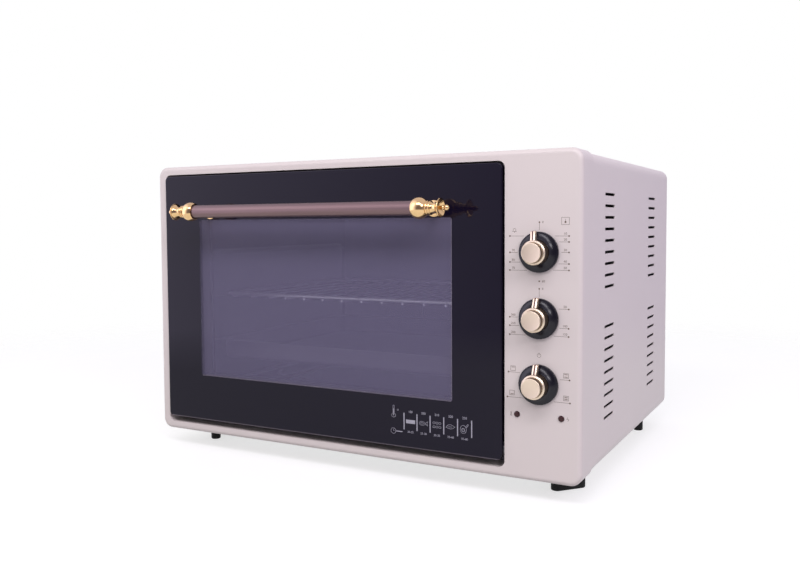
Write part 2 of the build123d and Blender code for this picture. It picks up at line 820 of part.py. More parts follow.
def wire_rack():
    """The wire shelf: a round frame with thinner bars welded under it."""
    width = cavity_width - 2 * (rack_side_gap + rack_wire_radius)
    z = rail_tops[rail_count // 2] + rest_gap + rack_wire_radius
    front = face + rack_front
    centre = Plane((door_offset, front + rack_depth / 2, z))
    path = (centre * RectangleRounded(width, rack_depth - 2 * rack_wire_radius, rack_corner)).wire()
    rack = sweep(Plane(path @ 0, z_dir=path % 0) * Circle(rack_wire_radius), path=path)
    pitch = width / rack_bars
    drop = rack_wire_radius + rack_bar_radius - rack_weld
    for n in range(rack_bars):
        x = door_offset + pitch * (n - (rack_bars - 1) / 2)
        rack += rod_y(x, z - drop, rack_bar_radius, front, front + rack_depth)
    return rack


def baking_tray():
    """The enamelled tray, hanging by its rim."""
    width = cavity_width - 2 * tray_side_gap
    z = rail_tops[rail_count // 2 - 1] + rest_gap
    centre = Plane((door_offset, face + tray_front + tray_depth / 2, z))
    inset = 2 * (tray_rim + rest_gap)
    rim = extrude(centre * RectangleRounded(width, tray_depth, tray_radius), tray_wall)
    pan = extrude(centre * RectangleRounded(width - inset, tray_depth - inset, tray_radius), -tray_height)
    pan = fillet(pan.edges().group_by(Axis.Z)[0], tray_floor_radius)
    inset = inset + 2 * tray_wall
    hollow = extrude(centre.offset(tray_wall) * RectangleRounded(width - inset, tray_depth - inset,
                     tray_radius - tray_wall), -tray_height)
    hollow = fillet(hollow.edges().group_by(Axis.Z)[0], tray_floor_radius - tray_wall)
    return rim + pan - hollow


def heater(z):
    """A tubular element: a long loop that enters and leaves through the right wall."""
    end = cavity_right + sheet + heater_outside
    left = cavity_left + heater_side_gap
    path = FilletPolyline((end, face + heater_front, z), (left, face + heater_front, z),
                          (left, face + heater_back, z), (end, face + heater_back, z), radius=heater_bend)
    return sweep(Plane(path @ 0, z_dir=path % 0) * Circle(heater_radius), path=path)


def heater_beads():
    """The ceramic beads on the ends of both elements."""
    wall = cavity_right + sheet
    return [rod_x(face + y, z, bead_radius, wall, wall + bead_length)
            - rod_x(face + y, z, heater_radius + shaft_gap, wall - 1, wall + bead_length + 1)
            for z in heater_heights for y in (heater_front, heater_back)]


def heater_clip(z):
    """A bent strip on the chamber's left wall that carries an element's loop."""
    middle = face + (heater_front + heater_back) / 2
    half = heater_clip_width / 2
    under = z - heater_radius - frame_sheet
    shelf = block(cavity_left, cavity_left + heater_side_gap + 2 * heater_radius, middle - half,
                  middle + half, under, under + frame_sheet)
    foot_strip = block(cavity_left, cavity_left + frame_sheet, middle - half, middle + half, under,
                       under + heater_clip_foot)
    return shelf + foot_strip


def thermostat_sensor():
    """The thermostat's bulb inside the chamber and its capillary tube outside."""
    y, z = bulb_y, bulb_z
    outside = cavity_right + capillary_gap
    bend_y, end_z = face + capillary_back, knob_heights[1]
    bulb = rod_x(y, z, bulb_radius, cavity_right - bulb_length, cavity_right + 2 * sheet)
    path = FilletPolyline((cavity_right + 2 * sheet, y, z), (outside, y, z), (outside, bend_y, z),
                          (outside, bend_y, end_z), (knob_offset, bend_y, end_z),
                          (knob_offset, bracket_back + thermostat_size[1], end_z), radius=capillary_bend)
    return bulb + sweep(Plane(path @ 0, z_dir=path % 0) * Circle(capillary_radius), path=path)


def heat_shield():
    """The plate between the chamber and the controls."""
    plate = block(shield_x, shield_x + sheet, flange_front, cavity_back, cabinet_low + 2 * sheet,
                  top - panel_wall - flange_margin)
    return plate - rod_x(face + capillary_back, knob_heights[1], 4 * capillary_radius, shield_x - 1,
                         shield_x + 2 * sheet)


def terminal_block():
    """The terminal block on the bottom plate, between the heat shield and the cabinet's side."""
    width, depth, height = terminal_block_size
    low = cabinet_low + 2 * sheet
    left = shield_x + sheet + terminal_block_gap
    y = back - terminal_block_inset
    body = block(left, left + width, y - depth, y, low, low + height)
    wells = [rod_z(left + width * (n / 3 + 1 / 2), y - depth / 2, terminal_well_radius,
                   low + height - terminal_well_depth, low + height + 1) for n in (-1, 0, 1)]
    return body - wells


SUB_PARTS = {
    "front_panel": front_panel, "cabinet_shell": cabinet_shell, "back_panel": back_panel,
    "back_screws": back_screws, "cable_gland": cable_gland, "bottom_panel": bottom_panel,
    "foot_screws": foot_screws, "cavity_liner": cavity_liner, "door_outer_glass": door_outer_glass,
    "door_frame": door_frame, "window_surround": window_surround, "door_inner_glass": door_inner_glass,
    "handle_tube": handle_tube, "handle_screws": handle_screws, "bushing_nuts": bushing_nuts,
    "control_bracket": control_bracket, "bracket_screws": bracket_screws, "wire_rack": wire_rack,
    "baking_tray": baking_tray, "heater_beads": heater_beads, "thermostat_sensor": thermostat_sensor,
    "heat_shield": heat_shield, "terminal_block": terminal_block,
}
CONTROLS = {"timer": timer_size, "thermostat": thermostat_size, "selector": selector_size}
LEANS = {"timer": timer_pointer_angle, "thermostat": 0, "selector": 0}


def main():
    """Build and write every sub-part."""
    for node, make in SUB_PARTS.items():
        shape = make()
        save(Compound(shape) if isinstance(shape, list) else shape, node)
    for side, word in ((-1, "left"), (1, "right")):
        save(hinge_bracket(side), f"hinge_bracket_{word}")
        save(hinge_pin(side), f"hinge_pin_{word}")
        save(stay(side), f"stay_arm_{word}")
        save(handle_end(side), f"handle_end_{word}")
        save(side_rail(side), f"side_rail_{word}")
        save(lamp_lens(knob_offset + side * lamp_spacing / 2), f"lamp_lens_{word}")
        save(lamp_holder(knob_offset + side * lamp_spacing / 2), f"lamp_holder_{word}")
    for (name, size), z in zip(CONTROLS.items(), knob_heights):
        save(control_body(z, size), f"{name}_body")
        save(knob_skirt(z), f"{name}_knob_skirt")
        save(knob_cap(z, LEANS[name]), f"{name}_knob_cap")
        save(knob_shaft(z), f"{name}_shaft")
    for word, z in zip(("lower", "upper"), heater_heights):
        save(heater(z), f"{word}_heater")
        save(heater_clip(z), f"{word}_heater_clip")
    for side, end, x, y in foot_places:
        place = f"{'front' if end > 0 else 'rear'}_{'right' if side > 0 else 'left'}"
        save(foot(side, end, x, y), f"foot_{place}")


main()
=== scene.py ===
"""Looks of the mini oven.

Finishes for its sheet metal, glass and controls, and its turned and printed details.
"""

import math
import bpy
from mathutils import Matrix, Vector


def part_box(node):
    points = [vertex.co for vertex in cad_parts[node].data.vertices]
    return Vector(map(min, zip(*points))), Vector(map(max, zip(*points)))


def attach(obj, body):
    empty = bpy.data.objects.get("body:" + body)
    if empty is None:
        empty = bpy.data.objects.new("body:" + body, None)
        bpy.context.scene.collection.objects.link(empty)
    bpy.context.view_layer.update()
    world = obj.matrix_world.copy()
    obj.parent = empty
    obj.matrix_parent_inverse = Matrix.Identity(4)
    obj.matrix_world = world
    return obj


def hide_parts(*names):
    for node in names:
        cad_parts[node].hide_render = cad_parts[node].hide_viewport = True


bl_info = {
    "name": "Mini Oven", "version": (1, 0, 0), "blender": (4, 5, 0),
    "location": "View3D > Sidebar > Mini Oven",
    "description": "Finishes, turned handle, knobs and printed marks of a countertop mini oven",
    "category": "Object",
}

import bmesh
import bpy
from bpy.props import FloatProperty, FloatVectorProperty, IntProperty, PointerProperty, StringProperty
from mathutils import Matrix, Vector

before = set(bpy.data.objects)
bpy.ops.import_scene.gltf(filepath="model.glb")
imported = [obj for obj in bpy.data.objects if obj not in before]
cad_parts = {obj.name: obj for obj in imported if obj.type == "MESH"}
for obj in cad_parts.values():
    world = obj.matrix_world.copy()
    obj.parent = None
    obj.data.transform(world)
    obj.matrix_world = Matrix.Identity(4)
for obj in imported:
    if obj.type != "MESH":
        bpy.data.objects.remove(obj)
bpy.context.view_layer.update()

MM = 0.001
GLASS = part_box("door_outer_glass")
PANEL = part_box("front_panel")
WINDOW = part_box("window_surround")
KNOBS = {name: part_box(f"{name}_knob_skirt") for name in ("timer", "thermostat", "selector")}

# The photograph's frame, and where the lens's axis meets it, in pixels.
PHOTO_WIDTH, PHOTO_HEIGHT = 800, 581
AXIS_ACROSS, AXIS_DOWN = 380.12, 268.58

# Each lamp's place and its width and depth in metres, and its tint.
LAMPS = {
    "key": ((1.56, -1.24, 1.22), (0.7, 0.7), (0.96, 0.94, 1.0)),
    "overhead": ((0.45, -1.6, 1.75), (1.8, 0.5), (0.95, 0.93, 1.0)),
    "fill": ((-1.3, -1.5, 1.3), (1.2, 1.2), (1.0, 0.97, 0.93)),
}
LAMP_TARGET = (0, -0.1, 0.15)

# Directions in the room that shiny parts reflect.
BEHIND_CAMERA = (0.42, -0.9, -0.12)
FRONT_LEFT = (-0.8, -0.6, 0.1)

# Half the floor's width and the radius at which it has faded out, in metres.
FLOOR_HALF, FLOOR_END = 6, 1.5

# In millimetres: how far the window lies inside its surround, how soft its printed edge is, and
# the widths of the painted highlight along the window's lower and right edges and of the painted highlight on
# the pane's ground lower edge.
WINDOW_INSET, PRINT_BLUR, EDGE_HIGHLIGHT_WIDTH, RIM_HIGHLIGHT_WIDTH = 1.5, 0.3, 1.4, 1.3

# Printed marks: their thickness, the gap from the surface to their middle, how well they cover,
# and a figure's height as a share of its font's size.
INK_DEPTH, INK_GAP, INK_COVER, FIGURE_SHARE = 0.05 * MM, 0.02 * MM, 0.85, 0.72

# In millimetres from a knob's centre: how near the lines of its scale start, and where its dots
# lie to the right, to the left, above and below. Then a dot's radius.
LINE_START, DOTS_RIGHT, DOTS_LEFT, DOT_ABOVE, DOT_BELOW = 22.2, 29.5, -30.3, 29.2, -28.5
DOT = 0.85

# In millimetres: from the middle of a handle end's ball to its tip, and a back screw's radius.
END_REACH, SCREW_HEAD = 33, 3.5


def srgb(red, green, blue):
    """A colour picked on screen, 0 to 255, as the linear values that Blender works in."""
    return tuple(round(((c / 255 + 0.055) / 1.055) ** 2.4 if c > 10 else c / 3295, 5)
                 for c in (red, green, blue))


def glow(name, description, *value, **limits):
    """A setting for the colour of light, which may be stronger than white."""
    return FloatVectorProperty(name=name, description=description, subtype="COLOR", size=3,
                               min=0, default=value, **limits)


def colour(name, description, *value):
    """A colour setting whose default is picked on screen."""
    return glow(name, description, *srgb(*value), max=1)


def amount(name, description, value, least=0, **limits):
    """A setting for a plain number."""
    return FloatProperty(name=name, description=description, min=least, default=value, **limits)


def length(name, description, value):
    """A length setting with its default in millimetres."""
    return amount(name, description, value * MM, subtype="DISTANCE", unit="LENGTH")


def angle(name, description, value):
    """An angle setting with its default in degrees."""
    return FloatProperty(name=name, description=description, subtype="ANGLE", default=math.radians(value))


class BodySettings(bpy.types.PropertyGroup):
    """Paint, sheet steel, rubber and plastic of the body."""

    cream: colour("Cream", "Paint of the front panel and cabinet", 222, 211, 207)
    galvanised: colour("Galvanised", "Zinc-coated sheet at the back and underneath", 172, 174, 176)
    zinc: colour("Zinc", "Plated screws, shafts and hinge parts", 168, 169, 172)
    plastic: colour("Plastic", "Moulded bodies, holders and the gland", 34, 33, 34)
    rubber: colour("Rubber", "Feet", 22, 21, 22)


class DoorSettings(bpy.types.PropertyGroup):
    """The printed pane, its window and the pressed frame."""

    print_black: colour("Print", "Black print behind the outer pane", 20, 15, 33)
    window_tint: colour("Window tint", "Grey haze of the tinted window", 138, 131, 163)
    window_alpha: amount("Window strength", "How much of the view each face of the tinted window "
                         "holds back", 0.29, subtype="FACTOR", max=1)
    # Colour of the painted highlights on the pane's ground lower edge and along the window's lower and right
    # edges.
    painted_edge_highlight: colour("Polished edge", "Ground edge of the outer pane", 150, 140, 150)
    window_corner: length("Window corner", "Radius of the printed window's corners", 2.0)
    frame_paint: colour("Frame paint", "Heatproof paint of the door's steel", 62, 58, 60)


class HandleSettings(bpy.types.PropertyGroup):
    """The tube and its two turned ends."""

    bronze: colour("Bronze", "Finish of the tube", 131, 106, 106)
    brass: colour("Brass", "Turned ends", 232, 196, 142)
    ball: length("Ball radius", "Radius of the ball at each end", 11)
    bead: length("Bead radius", "Radius of the beads beside the ball", 7.6)
    bell: length("Bell radius", "Radius of the flared rim", 9.8)
    finial: length("Finial radius", "Radius of the small tip", 3)
    inset: length("Inset", "How far each end sits in along the tube", 2.4)
    steps: IntProperty(name="Steps", description="Faces round each turned piece", min=24, max=128, default=64)


class KnobSettings(bpy.types.PropertyGroup):
    """The three knobs."""

    skirt: colour("Skirt", "Glossy skirt", 14, 12, 24)
    champagne: colour("Champagne", "Anodised cap", 232, 214, 190)
    # Painted dark reflection: the cap's side walls take this dark colour to stand for the skirt mirrored in
    # them.
    painted_wall_reflection: colour("Cap wall", "Darkened side walls of the cap", 104, 88, 72)
    inlay: colour("Inlay", "Line on the pointer", 92, 44, 34)
    cap_radius: length("Cap radius", "Radius of the metal cap", 12)
    face_radius: length("Face radius", "Radius of the cap's raised face", 9.7)
    chamfer: length("Chamfer", "Width of the bright edge of the cap", 1.2)
    timer_lean: angle("Timer lean", "How far the timer's pointer leans to the left", 8)
    steps: IntProperty(name="Steps", description="Faces round each knob", min=32, max=160, default=96)


class PrintSettings(bpy.types.PropertyGroup):
    """Printed marks of the panel and the pane."""

    panel_ink: colour("Panel ink", "Marks on the paint", 118, 98, 82)
    glass_ink: colour("Glass ink", "Cooking guide on the pane", 196, 193, 206)
    line: length("Line", "Width of a mark's line", 0.32)
    figures: length("Figures", "Height of the figures on the panel", 2.3)
    timer_marks: StringProperty(name="Timer marks", default="10 20 30 40 50 60 70 80 90",
                                description="Figures round the timer, clockwise")
    thermostat_marks: StringProperty(name="Thermostat marks", default="50 100 150 200 250 300",
                                     description="Figures round the thermostat")


class ChamberSettings(bpy.types.PropertyGroup):
    """The chamber, its rails, rack, tray and elements."""

    enamel: colour("Enamel", "Chamber and tray", 96, 92, 104)
    chrome: colour("Chrome", "Wire rack", 236, 235, 242)
    rail: colour("Rail", "Side rails and clips", 150, 150, 154)
    sheath: colour("Sheath", "Sheath of the elements", 84, 80, 78)
    blued: colour("Blued", "Where heat has blued the sheath", 92, 78, 82)
    ceramic: colour("Ceramic", "Beads at the ends of the elements", 232, 226, 212)


class LampSettings(bpy.types.PropertyGroup):
    """The two pilot lamps."""

    red: colour("Red", "Lens", 58, 3, 10)


class StageSettings(bpy.types.PropertyGroup):
    """Camera, floor and lights."""

    camera: FloatVectorProperty(name="Camera", description="Where the camera stands",
                                subtype="XYZ", unit="LENGTH", size=3, default=(0.49416, -0.97723, 0.27980))
    heading: angle("Heading", "Turn to the left of straight ahead", 29.268)
    tilt: angle("Tilt", "How far the camera looks down", 3.085)
    roll: angle("Roll", "Turn about the line of sight", -0.397)
    lens: amount("Lens", "Focal length in millimetres", 37.982, 1)
    ambient: amount("Ambient", "Strength of the light from all round", 0.56)
    key: amount("Key", "Power of the small light at the front right", 12)
    overhead: amount("Overhead", "Power of the wide light above the camera", 19.5)
    fill: amount("Fill", "Power of the light at the front left", 2.6)
    shade: glow("Shaded side", "Light from the right", 0.42, 0.375, 0.5)
    dark: glow("Dark", "What shiny parts reflect from behind the camera", 0.2, 0.18, 0.24)
    bright: glow("Bright", "What shiny parts reflect from the front left", 2.2, 2.08, 2.5)
    sides: glow("Sides", "What shiny parts reflect from the rest of the room", 0.85, 0.8, 0.95)
    floor: colour("Floor", "The pale floor", 180, 179, 180)
    lift: amount("Floor lift", "How far the floor is lifted to white where it is seen", 0.66, max=1)


class OvenSettings(bpy.types.PropertyGroup):
    """All settings of the mini oven."""

    body: PointerProperty(type=BodySettings)
    door: PointerProperty(type=DoorSettings)
    handle: PointerProperty(type=HandleSettings)
    knobs: PointerProperty(type=KnobSettings)
    prints: PointerProperty(type=PrintSettings)
    chamber: PointerProperty(type=ChamberSettings)
    lamps: PointerProperty(type=LampSettings)
    stage: PointerProperty(type=StageSettings)


def maths(operation, swap=False):
    """An operator that adds a Math node, with its two values in turn or swapped."""
    def method(value, other):
        inputs = (other, value) if swap else (value, other)
        return value.tree.add("ShaderNodeMath", {"operation": operation}, dict(enumerate(inputs)))
    return method


class Value:
    """An output of a node; the usual operators on it add Math nodes."""

    def __init__(self, tree, socket):
        self.tree, self.socket = tree, socket

    __add__ = __radd__ = maths("ADD")
    __sub__, __rsub__ = maths("SUBTRACT"), maths("SUBTRACT", swap=True)
    __mul__ = __rmul__ = maths("MULTIPLY")
    __truediv__, __rtruediv__ = maths("DIVIDE"), maths("DIVIDE", swap=True)
    __pow__ = maths("POWER")
    __gt__, __lt__ = maths("GREATER_THAN"), maths("LESS_THAN")
    at_least, at_most = maths("MAXIMUM"), maths("MINIMUM")

    def __abs__(self):
        return self.tree.add("ShaderNodeMath", {"operation": "ABSOLUTE"}, {0: self})

    def clipped(self):
        """Held between 0 and 1."""
        return self.at_least(0).at_most(1)


class Tree:
    """The nodes of one material or world."""

    def __init__(self, node_tree):
        self.nodes, self.links = node_tree.nodes, node_tree.links

    def add(self, kind, settings=None, values=None, out=0):
        """Add a node: its settings first, then the values or links of its sockets."""
        node = self.nodes.new(kind)
        for name, setting in (settings or {}).items():
            setattr(node, name, setting)
        self.put(node, values or {})
        return Value(self, node.outputs[out])

    def put(self, node, values):
        """Set or link a node's sockets."""
        for key, value in values.items():
            if isinstance(value, Value):
                self.links.new(value.socket, node.inputs[key])
            else:
                node.inputs[key].default_value = value

    def place(self):
        """Object coordinates."""
        return self.add("ShaderNodeTexCoord", out="Object")

    def axis(self, letter):
        """One of the three object coordinates, in metres."""
        return self.add("ShaderNodeSeparateXYZ", values={0: self.place()}, out=letter)

    def ray(self, kind):
        """1 on rays of one kind."""
        return self.add("ShaderNodeLightPath", out=f"Is {kind} Ray")

    def grain(self, scale, stretch=(1, 1, 1), detail=3, rough=0.5, out="Fac"):
        """Noise on object coordinates, stretched along an axis where its factor is small."""
        place = self.add("ShaderNodeMapping", values={"Vector": self.place(), "Scale": stretch})
        return self.add("ShaderNodeTexNoise", {}, {"Vector": place, "Scale": scale,
                                                   "Detail": detail, "Roughness": rough}, out)

    def shade(self, amount, dark, light):
        """A colour between two, by an amount from 0 to 1."""
        return self.add("ShaderNodeMix", {"data_type": "RGBA", "clamp_factor": True},
                        {0: amount, 6: rgba(dark), 7: rgba(light)}, 2)

    def bump(self, height, depth, strength):
        """A normal from a height between 0 and 1, with its depth in millimetres."""
        return self.add("ShaderNodeBump", {}, {"Height": height, "Distance": depth * MM,
                                               "Strength": strength})


class Finish(Tree):
    """A material with one principled shader."""

    def __init__(self, name, **values):
        self.material = bpy.data.materials.new(name)
        self.material.use_nodes = True
        super().__init__(self.material.node_tree)
        self.shader = self.nodes["Principled BSDF"]
        self.set(**values)

    def set(self, **values):
        """Set or link sockets of the shader, named with underscores for spaces."""
        for name, value in values.items():
            key = name.replace("_", " ").title().replace("Ior", "IOR")
            if not isinstance(value, (Value, float, int)):
                value = rgba(value)
            self.put(self.shader, {key: value})

    def tone(self, pattern, value, share):
        """A colour that falls to a share of itself where a pattern is 0."""
        return self.shade(pattern, scaled(value, share), value)

    def vary(self, value, share, roughness, bump=None, relief=None, **grain):
        """Let one grain vary the colour and roughness, and it or a relief bump the surface.

        Roughness is its least and what the grain adds; bump is its millimetres and strength.
        """
        pattern = self.grain(**grain)
        self.set(base_color=self.tone(pattern, value, share), roughness=roughness[0] + roughness[1] * pattern)
        if bump:
            self.set(normal=self.bump(self.grain(**relief) if relief else pattern, *bump))
        return self.material


def rgba(value):
    """A colour with its alpha, or a node's output as it is."""
    return value if isinstance(value, Value) else (*value[:3], 1)


def scaled(value, share):
    """A colour times a share."""
    return tuple(c * share for c in value[:3])


def cream_paint(settings):
    """Satin stoved paint with a faint orange peel."""
    finish = Finish("cream_paint", coat_weight=0.25, coat_roughness=0.28)
    finish.set(base_color=finish.tone(finish.grain(9, detail=2), settings.cream, 0.975),
               roughness=0.4 + 0.08 * finish.grain(300),
               normal=finish.bump(finish.grain(1500, detail=2), 0.008, 0.5))
    return finish.material


def galvanised(settings):
    """Zinc-coated sheet with its spangle."""
    finish = Finish("galvanised_sheet", metallic=0.85)
    warped = finish.add("ShaderNodeVectorMath", {"operation": "MULTIPLY_ADD"},
                        {0: finish.grain(70, out="Color"), 1: (0.012,) * 3, 2: finish.place()})
    spangle = finish.add("ShaderNodeTexVoronoi", {}, {"Vector": warped, "Scale": 90.0}, "Color")
    flake = finish.add("ShaderNodeSeparateColor", values={0: spangle}, out=0)
    fine = finish.grain(900, detail=4)
    finish.set(base_color=finish.tone(0.6 * flake + 0.4 * fine, settings.galvanised, 0.72),
               roughness=0.34 + 0.2 * flake + 0.06 * fine, normal=finish.bump(fine, 0.01, 0.4))
    return finish.material


def zinc_plate(settings):
    """Zinc plating with fine drawn lines and a little dulling."""
    return Finish("zinc_plate", metallic=1.0).vary(
        settings.zinc, 0.7, (0.26, 0.22), (0.01, 0.4), {"scale": 1400}, scale=160, detail=4)


def moulded_plastic(settings):
    """Black plastic with a spark-eroded grain."""
    return Finish("moulded_plastic", specular_ior_level=0.4).vary(
        settings.plastic, 0.75, (0.5, 0.15), (0.02, 0.6), scale=1100, detail=5, rough=0.65)


def foot_rubber(settings):
    """Matt black rubber with dust in its pores."""
    return Finish("foot_rubber", specular_ior_level=0.35).vary(
        settings.rubber, 0.7, (0.7, 0.15), (0.05, 0.7), scale=700, detail=6, rough=0.7)


def heatproof_paint(settings):
    """Dark fine-textured paint of the door's steel."""
    return Finish("heatproof_paint").vary(
        settings.frame_paint, 0.8, (0.42, 0.12), (0.02, 0.5), scale=1000, detail=4)


def window_mask(finish, settings):
    """1 inside the printed window's rounded rectangle and 0 on the print."""
    low, high = WINDOW
    inset = WINDOW_INSET * MM + settings.window_corner
    reach = []
    for letter, axis in (("X", 0), ("Z", 2)):
        middle = (low[axis] + high[axis]) / 2
        half = (high[axis] - low[axis]) / 2 - inset
        reach.append((abs(finish.axis(letter) - middle) - half).at_least(0))
    distance = (reach[0] * reach[0] + reach[1] * reach[1]) ** 0.5
    return ((settings.window_corner - distance) / (PRINT_BLUR * MM) + 0.5).clipped()


def printed_glass(settings):
    """The outer pane: glass over black print, with a tinted window, a painted highlight along the window's
    lower and right edges, and a painted highlight on the pane's lower rim.
    """
    finish = Finish("printed_glass", roughness=0.03, ior=1.45, specular_ior_level=0.22)
    window = window_mask(finish, settings)
    black = finish.tone(finish.grain(6, detail=1), settings.print_black, 0.9)
    # Painted highlight: a pale band along the pane's ground lower edge.
    rim = ((RIM_HIGHLIGHT_WIDTH * MM + GLASS[0].z - finish.axis("Z")) / (RIM_HIGHLIGHT_WIDTH * MM)).at_least(0)
    print_and_rim_highlight = finish.shade(rim, black, settings.painted_edge_highlight)
    # Painted highlight: a pale, more opaque band along the window's lower and right edges only.
    low, high = WINDOW
    inside = (finish.axis("Z") - low.z).at_most(high.x - finish.axis("X")) - WINDOW_INSET * MM
    edge_highlight = (1 - inside / (EDGE_HIGHLIGHT_WIDTH * MM)).clipped() * window
    tint = finish.shade(edge_highlight, settings.window_tint, settings.painted_edge_highlight)
    finish.set(base_color=finish.shade(window, print_and_rim_highlight, tint),
               alpha=1 - (1 - settings.window_alpha) * window * (1 - 0.45 * edge_highlight))
    return finish.material


def clear_glass(settings):
    """The inner pane, with a trace of grease."""
    finish = Finish("clear_glass", base_color=scaled(settings.window_tint, 0.8), ior=1.45,
                    specular_ior_level=0.3)
    smear = finish.grain(18, stretch=(1, 1, 0.4), detail=4)
    finish.set(roughness=0.03 + 0.05 * smear, alpha=0.1 + 0.05 * smear)
    return finish.material


def bronze_tube(settings):
    """The handle's tube, drawn lengthwise into fine light and dark streaks."""
    finish = Finish("bronze_tube", metallic=0.75, coat_weight=0.15, coat_roughness=0.3)
    streaks = finish.grain(900, stretch=(0.012, 1, 1), detail=4, rough=0.6)
    broad = finish.grain(260, stretch=(0.02, 1, 1), detail=2)
    both = 0.6 * streaks + 0.4 * broad
    finish.set(base_color=finish.tone(1.6 * both - 0.3, settings.bronze, 0.62),
               roughness=0.3 + 0.16 * streaks, normal=finish.bump(streaks, 0.02, 0.5))
    return finish.material


def polished_brass(settings):
    """Polished brass, a little duller and darker in its clouds, with fine turned grooves in its surface."""
    return Finish("polished_brass", metallic=1.0).vary(
        settings.brass, 0.82, (0.1, 0.1), (0.004, 0.3),
        {"scale": 2600, "stretch": (1, 0.05, 0.05), "detail": 2}, scale=240, detail=4)


def gloss_black(settings):
    """The glossy skirt of a knob, with fine handling marks."""
    return Finish("gloss_black", specular_ior_level=0.36).vary(
        settings.skirt, 0.85, (0.2, 0.1), (0.004, 0.3), scale=500, detail=5, rough=0.7)


def champagne(settings, name, centre):
    """Anodised aluminium, turned into fine rings round a knob's centre."""
    finish = Finish(f"champagne_{name}", metallic=0.9)
    across, up = finish.axis("X") - centre.x, finish.axis("Z") - centre.z
    radius = (across * across + up * up) ** 0.5
    rings = finish.add("ShaderNodeTexNoise", {"noise_dimensions": "1D"},
                       {"W": radius, "Scale": 2600.0, "Detail": 3.0})
    sheen = finish.grain(120, detail=2)
    finish.set(base_color=finish.tone(0.7 * rings + 0.3 * sheen, settings.champagne, 0.84),
               roughness=0.3 + 0.12 * rings, normal=finish.bump(rings, 0.01, 0.5))
    return finish.material


def dark_bronze(settings):
    """Painted dark reflection on the sides of a cap: dark metal standing for the skirt mirrored there, turned
    fine like its face.
    """
    return Finish("dark_bronze", metallic=0.8).vary(
        settings.painted_wall_reflection, 0.75, (0.3, 0.12), (0.006, 0.4), {"scale": 1500}, scale=300, detail=3)


def inlay_paint(settings):
    """The dark line let into a pointer."""
    return Finish("pointer_inlay", coat_weight=0.3).vary(
        settings.inlay, 0.8, (0.35, 0.1), scale=900)


def ink(name, value):
    """Screen-printed ink, a little uneven in its cover."""
    finish = Finish(name, specular_ior_level=0.3)
    cover = finish.grain(1200, detail=3)
    finish.set(base_color=finish.tone(cover, value, 0.88), roughness=0.5 + 0.1 * cover,
               alpha=(INK_COVER + 0.2 * (cover - 0.5)).at_most(1))
    return finish.material


def speckled_enamel(settings):
    """Vitreous enamel with pale specks."""
    finish = Finish("speckled_enamel", coat_weight=0.3, coat_roughness=0.2)
    dots = finish.add("ShaderNodeTexVoronoi", {}, {"Vector": finish.place(), "Scale": 420.0}, "Distance")
    pick = finish.grain(260, detail=1)
    specks = (dots < 0.16) * (pick > 0.53)
    ground = finish.tone(finish.grain(14), settings.enamel, 0.85)
    finish.set(base_color=finish.shade(specks, ground, scaled(settings.enamel, 1.4)),
               roughness=0.3 + 0.12 * pick, normal=finish.bump(finish.grain(60, detail=1), 0.02, 0.15))
    return finish.material


def chrome_wire(settings):
    """Chromed wire, slightly heat-tinted in places."""
    finish = Finish("chrome_wire", metallic=0.75)
    finish.set(base_color=finish.tone(finish.grain(22, detail=2), settings.chrome, 0.9),
               roughness=0.26 + 0.12 * finish.grain(500, detail=3))
    return finish.material


def rail_steel(settings):
    """Satin steel of the rails, brushed from front to back."""
    return Finish("rail_steel", metallic=0.9).vary(
        settings.rail, 0.8, (0.34, 0.14), (0.01, 0.4), scale=1100, stretch=(1, 0.02, 1), detail=3)


def oxidised_sheath(settings):
    """The elements' sheath, blued and browned by heat."""
    finish = Finish("oxidised_sheath", metallic=0.7)
    cloud = finish.grain(60, stretch=(0.5, 0.5, 1), detail=4)
    warm = finish.tone(cloud, settings.sheath, 0.6)
    finish.set(base_color=finish.shade(finish.grain(15), warm, settings.blued),
               roughness=0.38 + 0.2 * cloud, normal=finish.bump(finish.grain(800), 0.01, 0.5))
    return finish.material


def bisque_ceramic(settings):
    """Unglazed ceramic of the beads."""
    return Finish("bisque_ceramic", specular_ior_level=0.3).vary(
        settings.ceramic, 0.88, (0.75, 0.1), (0.03, 0.5), scale=600, detail=5)


def lamp_red(settings):
    """The dark red lens, with its ribs showing faintly."""
    return Finish("lamp_red", coat_weight=0.2, coat_roughness=0.05, specular_ior_level=0.3).vary(
        settings.red, 0.6, (0.12, 0.08), scale=700, stretch=(1, 1, 0.1), detail=2)


def pairs(*parts):
    """The names of the left and right ones of parts that come in pairs."""
    return [f"{part}_{side}" for part in parts for side in ("left", "right")]


def dress(material, *nodes):
    """Give CAD parts a material."""
    for node in nodes:
        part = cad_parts[node]
        if not part.material_slots:
            part.data.materials.append(material)
        for held in part.material_slots:
            held.material = material


def show(name, data):
    """Add an object to the scene."""
    made = bpy.data.objects.new(name, data)
    bpy.context.scene.collection.objects.link(made)
    return made


def piece(name, bm, materials, body, stands_for=(), sharp=35):
    """Turn a bmesh into a finished piece that rides on a CAD body."""
    mesh = bpy.data.meshes.new(name)
    bm.to_mesh(mesh)
    bm.free()
    mesh.shade_smooth()
    mesh.set_sharp_from_angle(angle=math.radians(sharp))
    for material in materials:
        mesh.materials.append(material)
    made = show(name, mesh)
    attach(made, body)
    if stands_for:
        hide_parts(*stands_for)


def arc(middle, radius, start, end, steps):
    """Points of an arc in an outline, with its angles in degrees from the axis."""
    turns = [math.radians(start + (end - start) * n / steps) for n in range(steps + 1)]
    return [(middle[0] + radius * math.cos(t), middle[1] + radius * math.sin(t)) for t in turns]


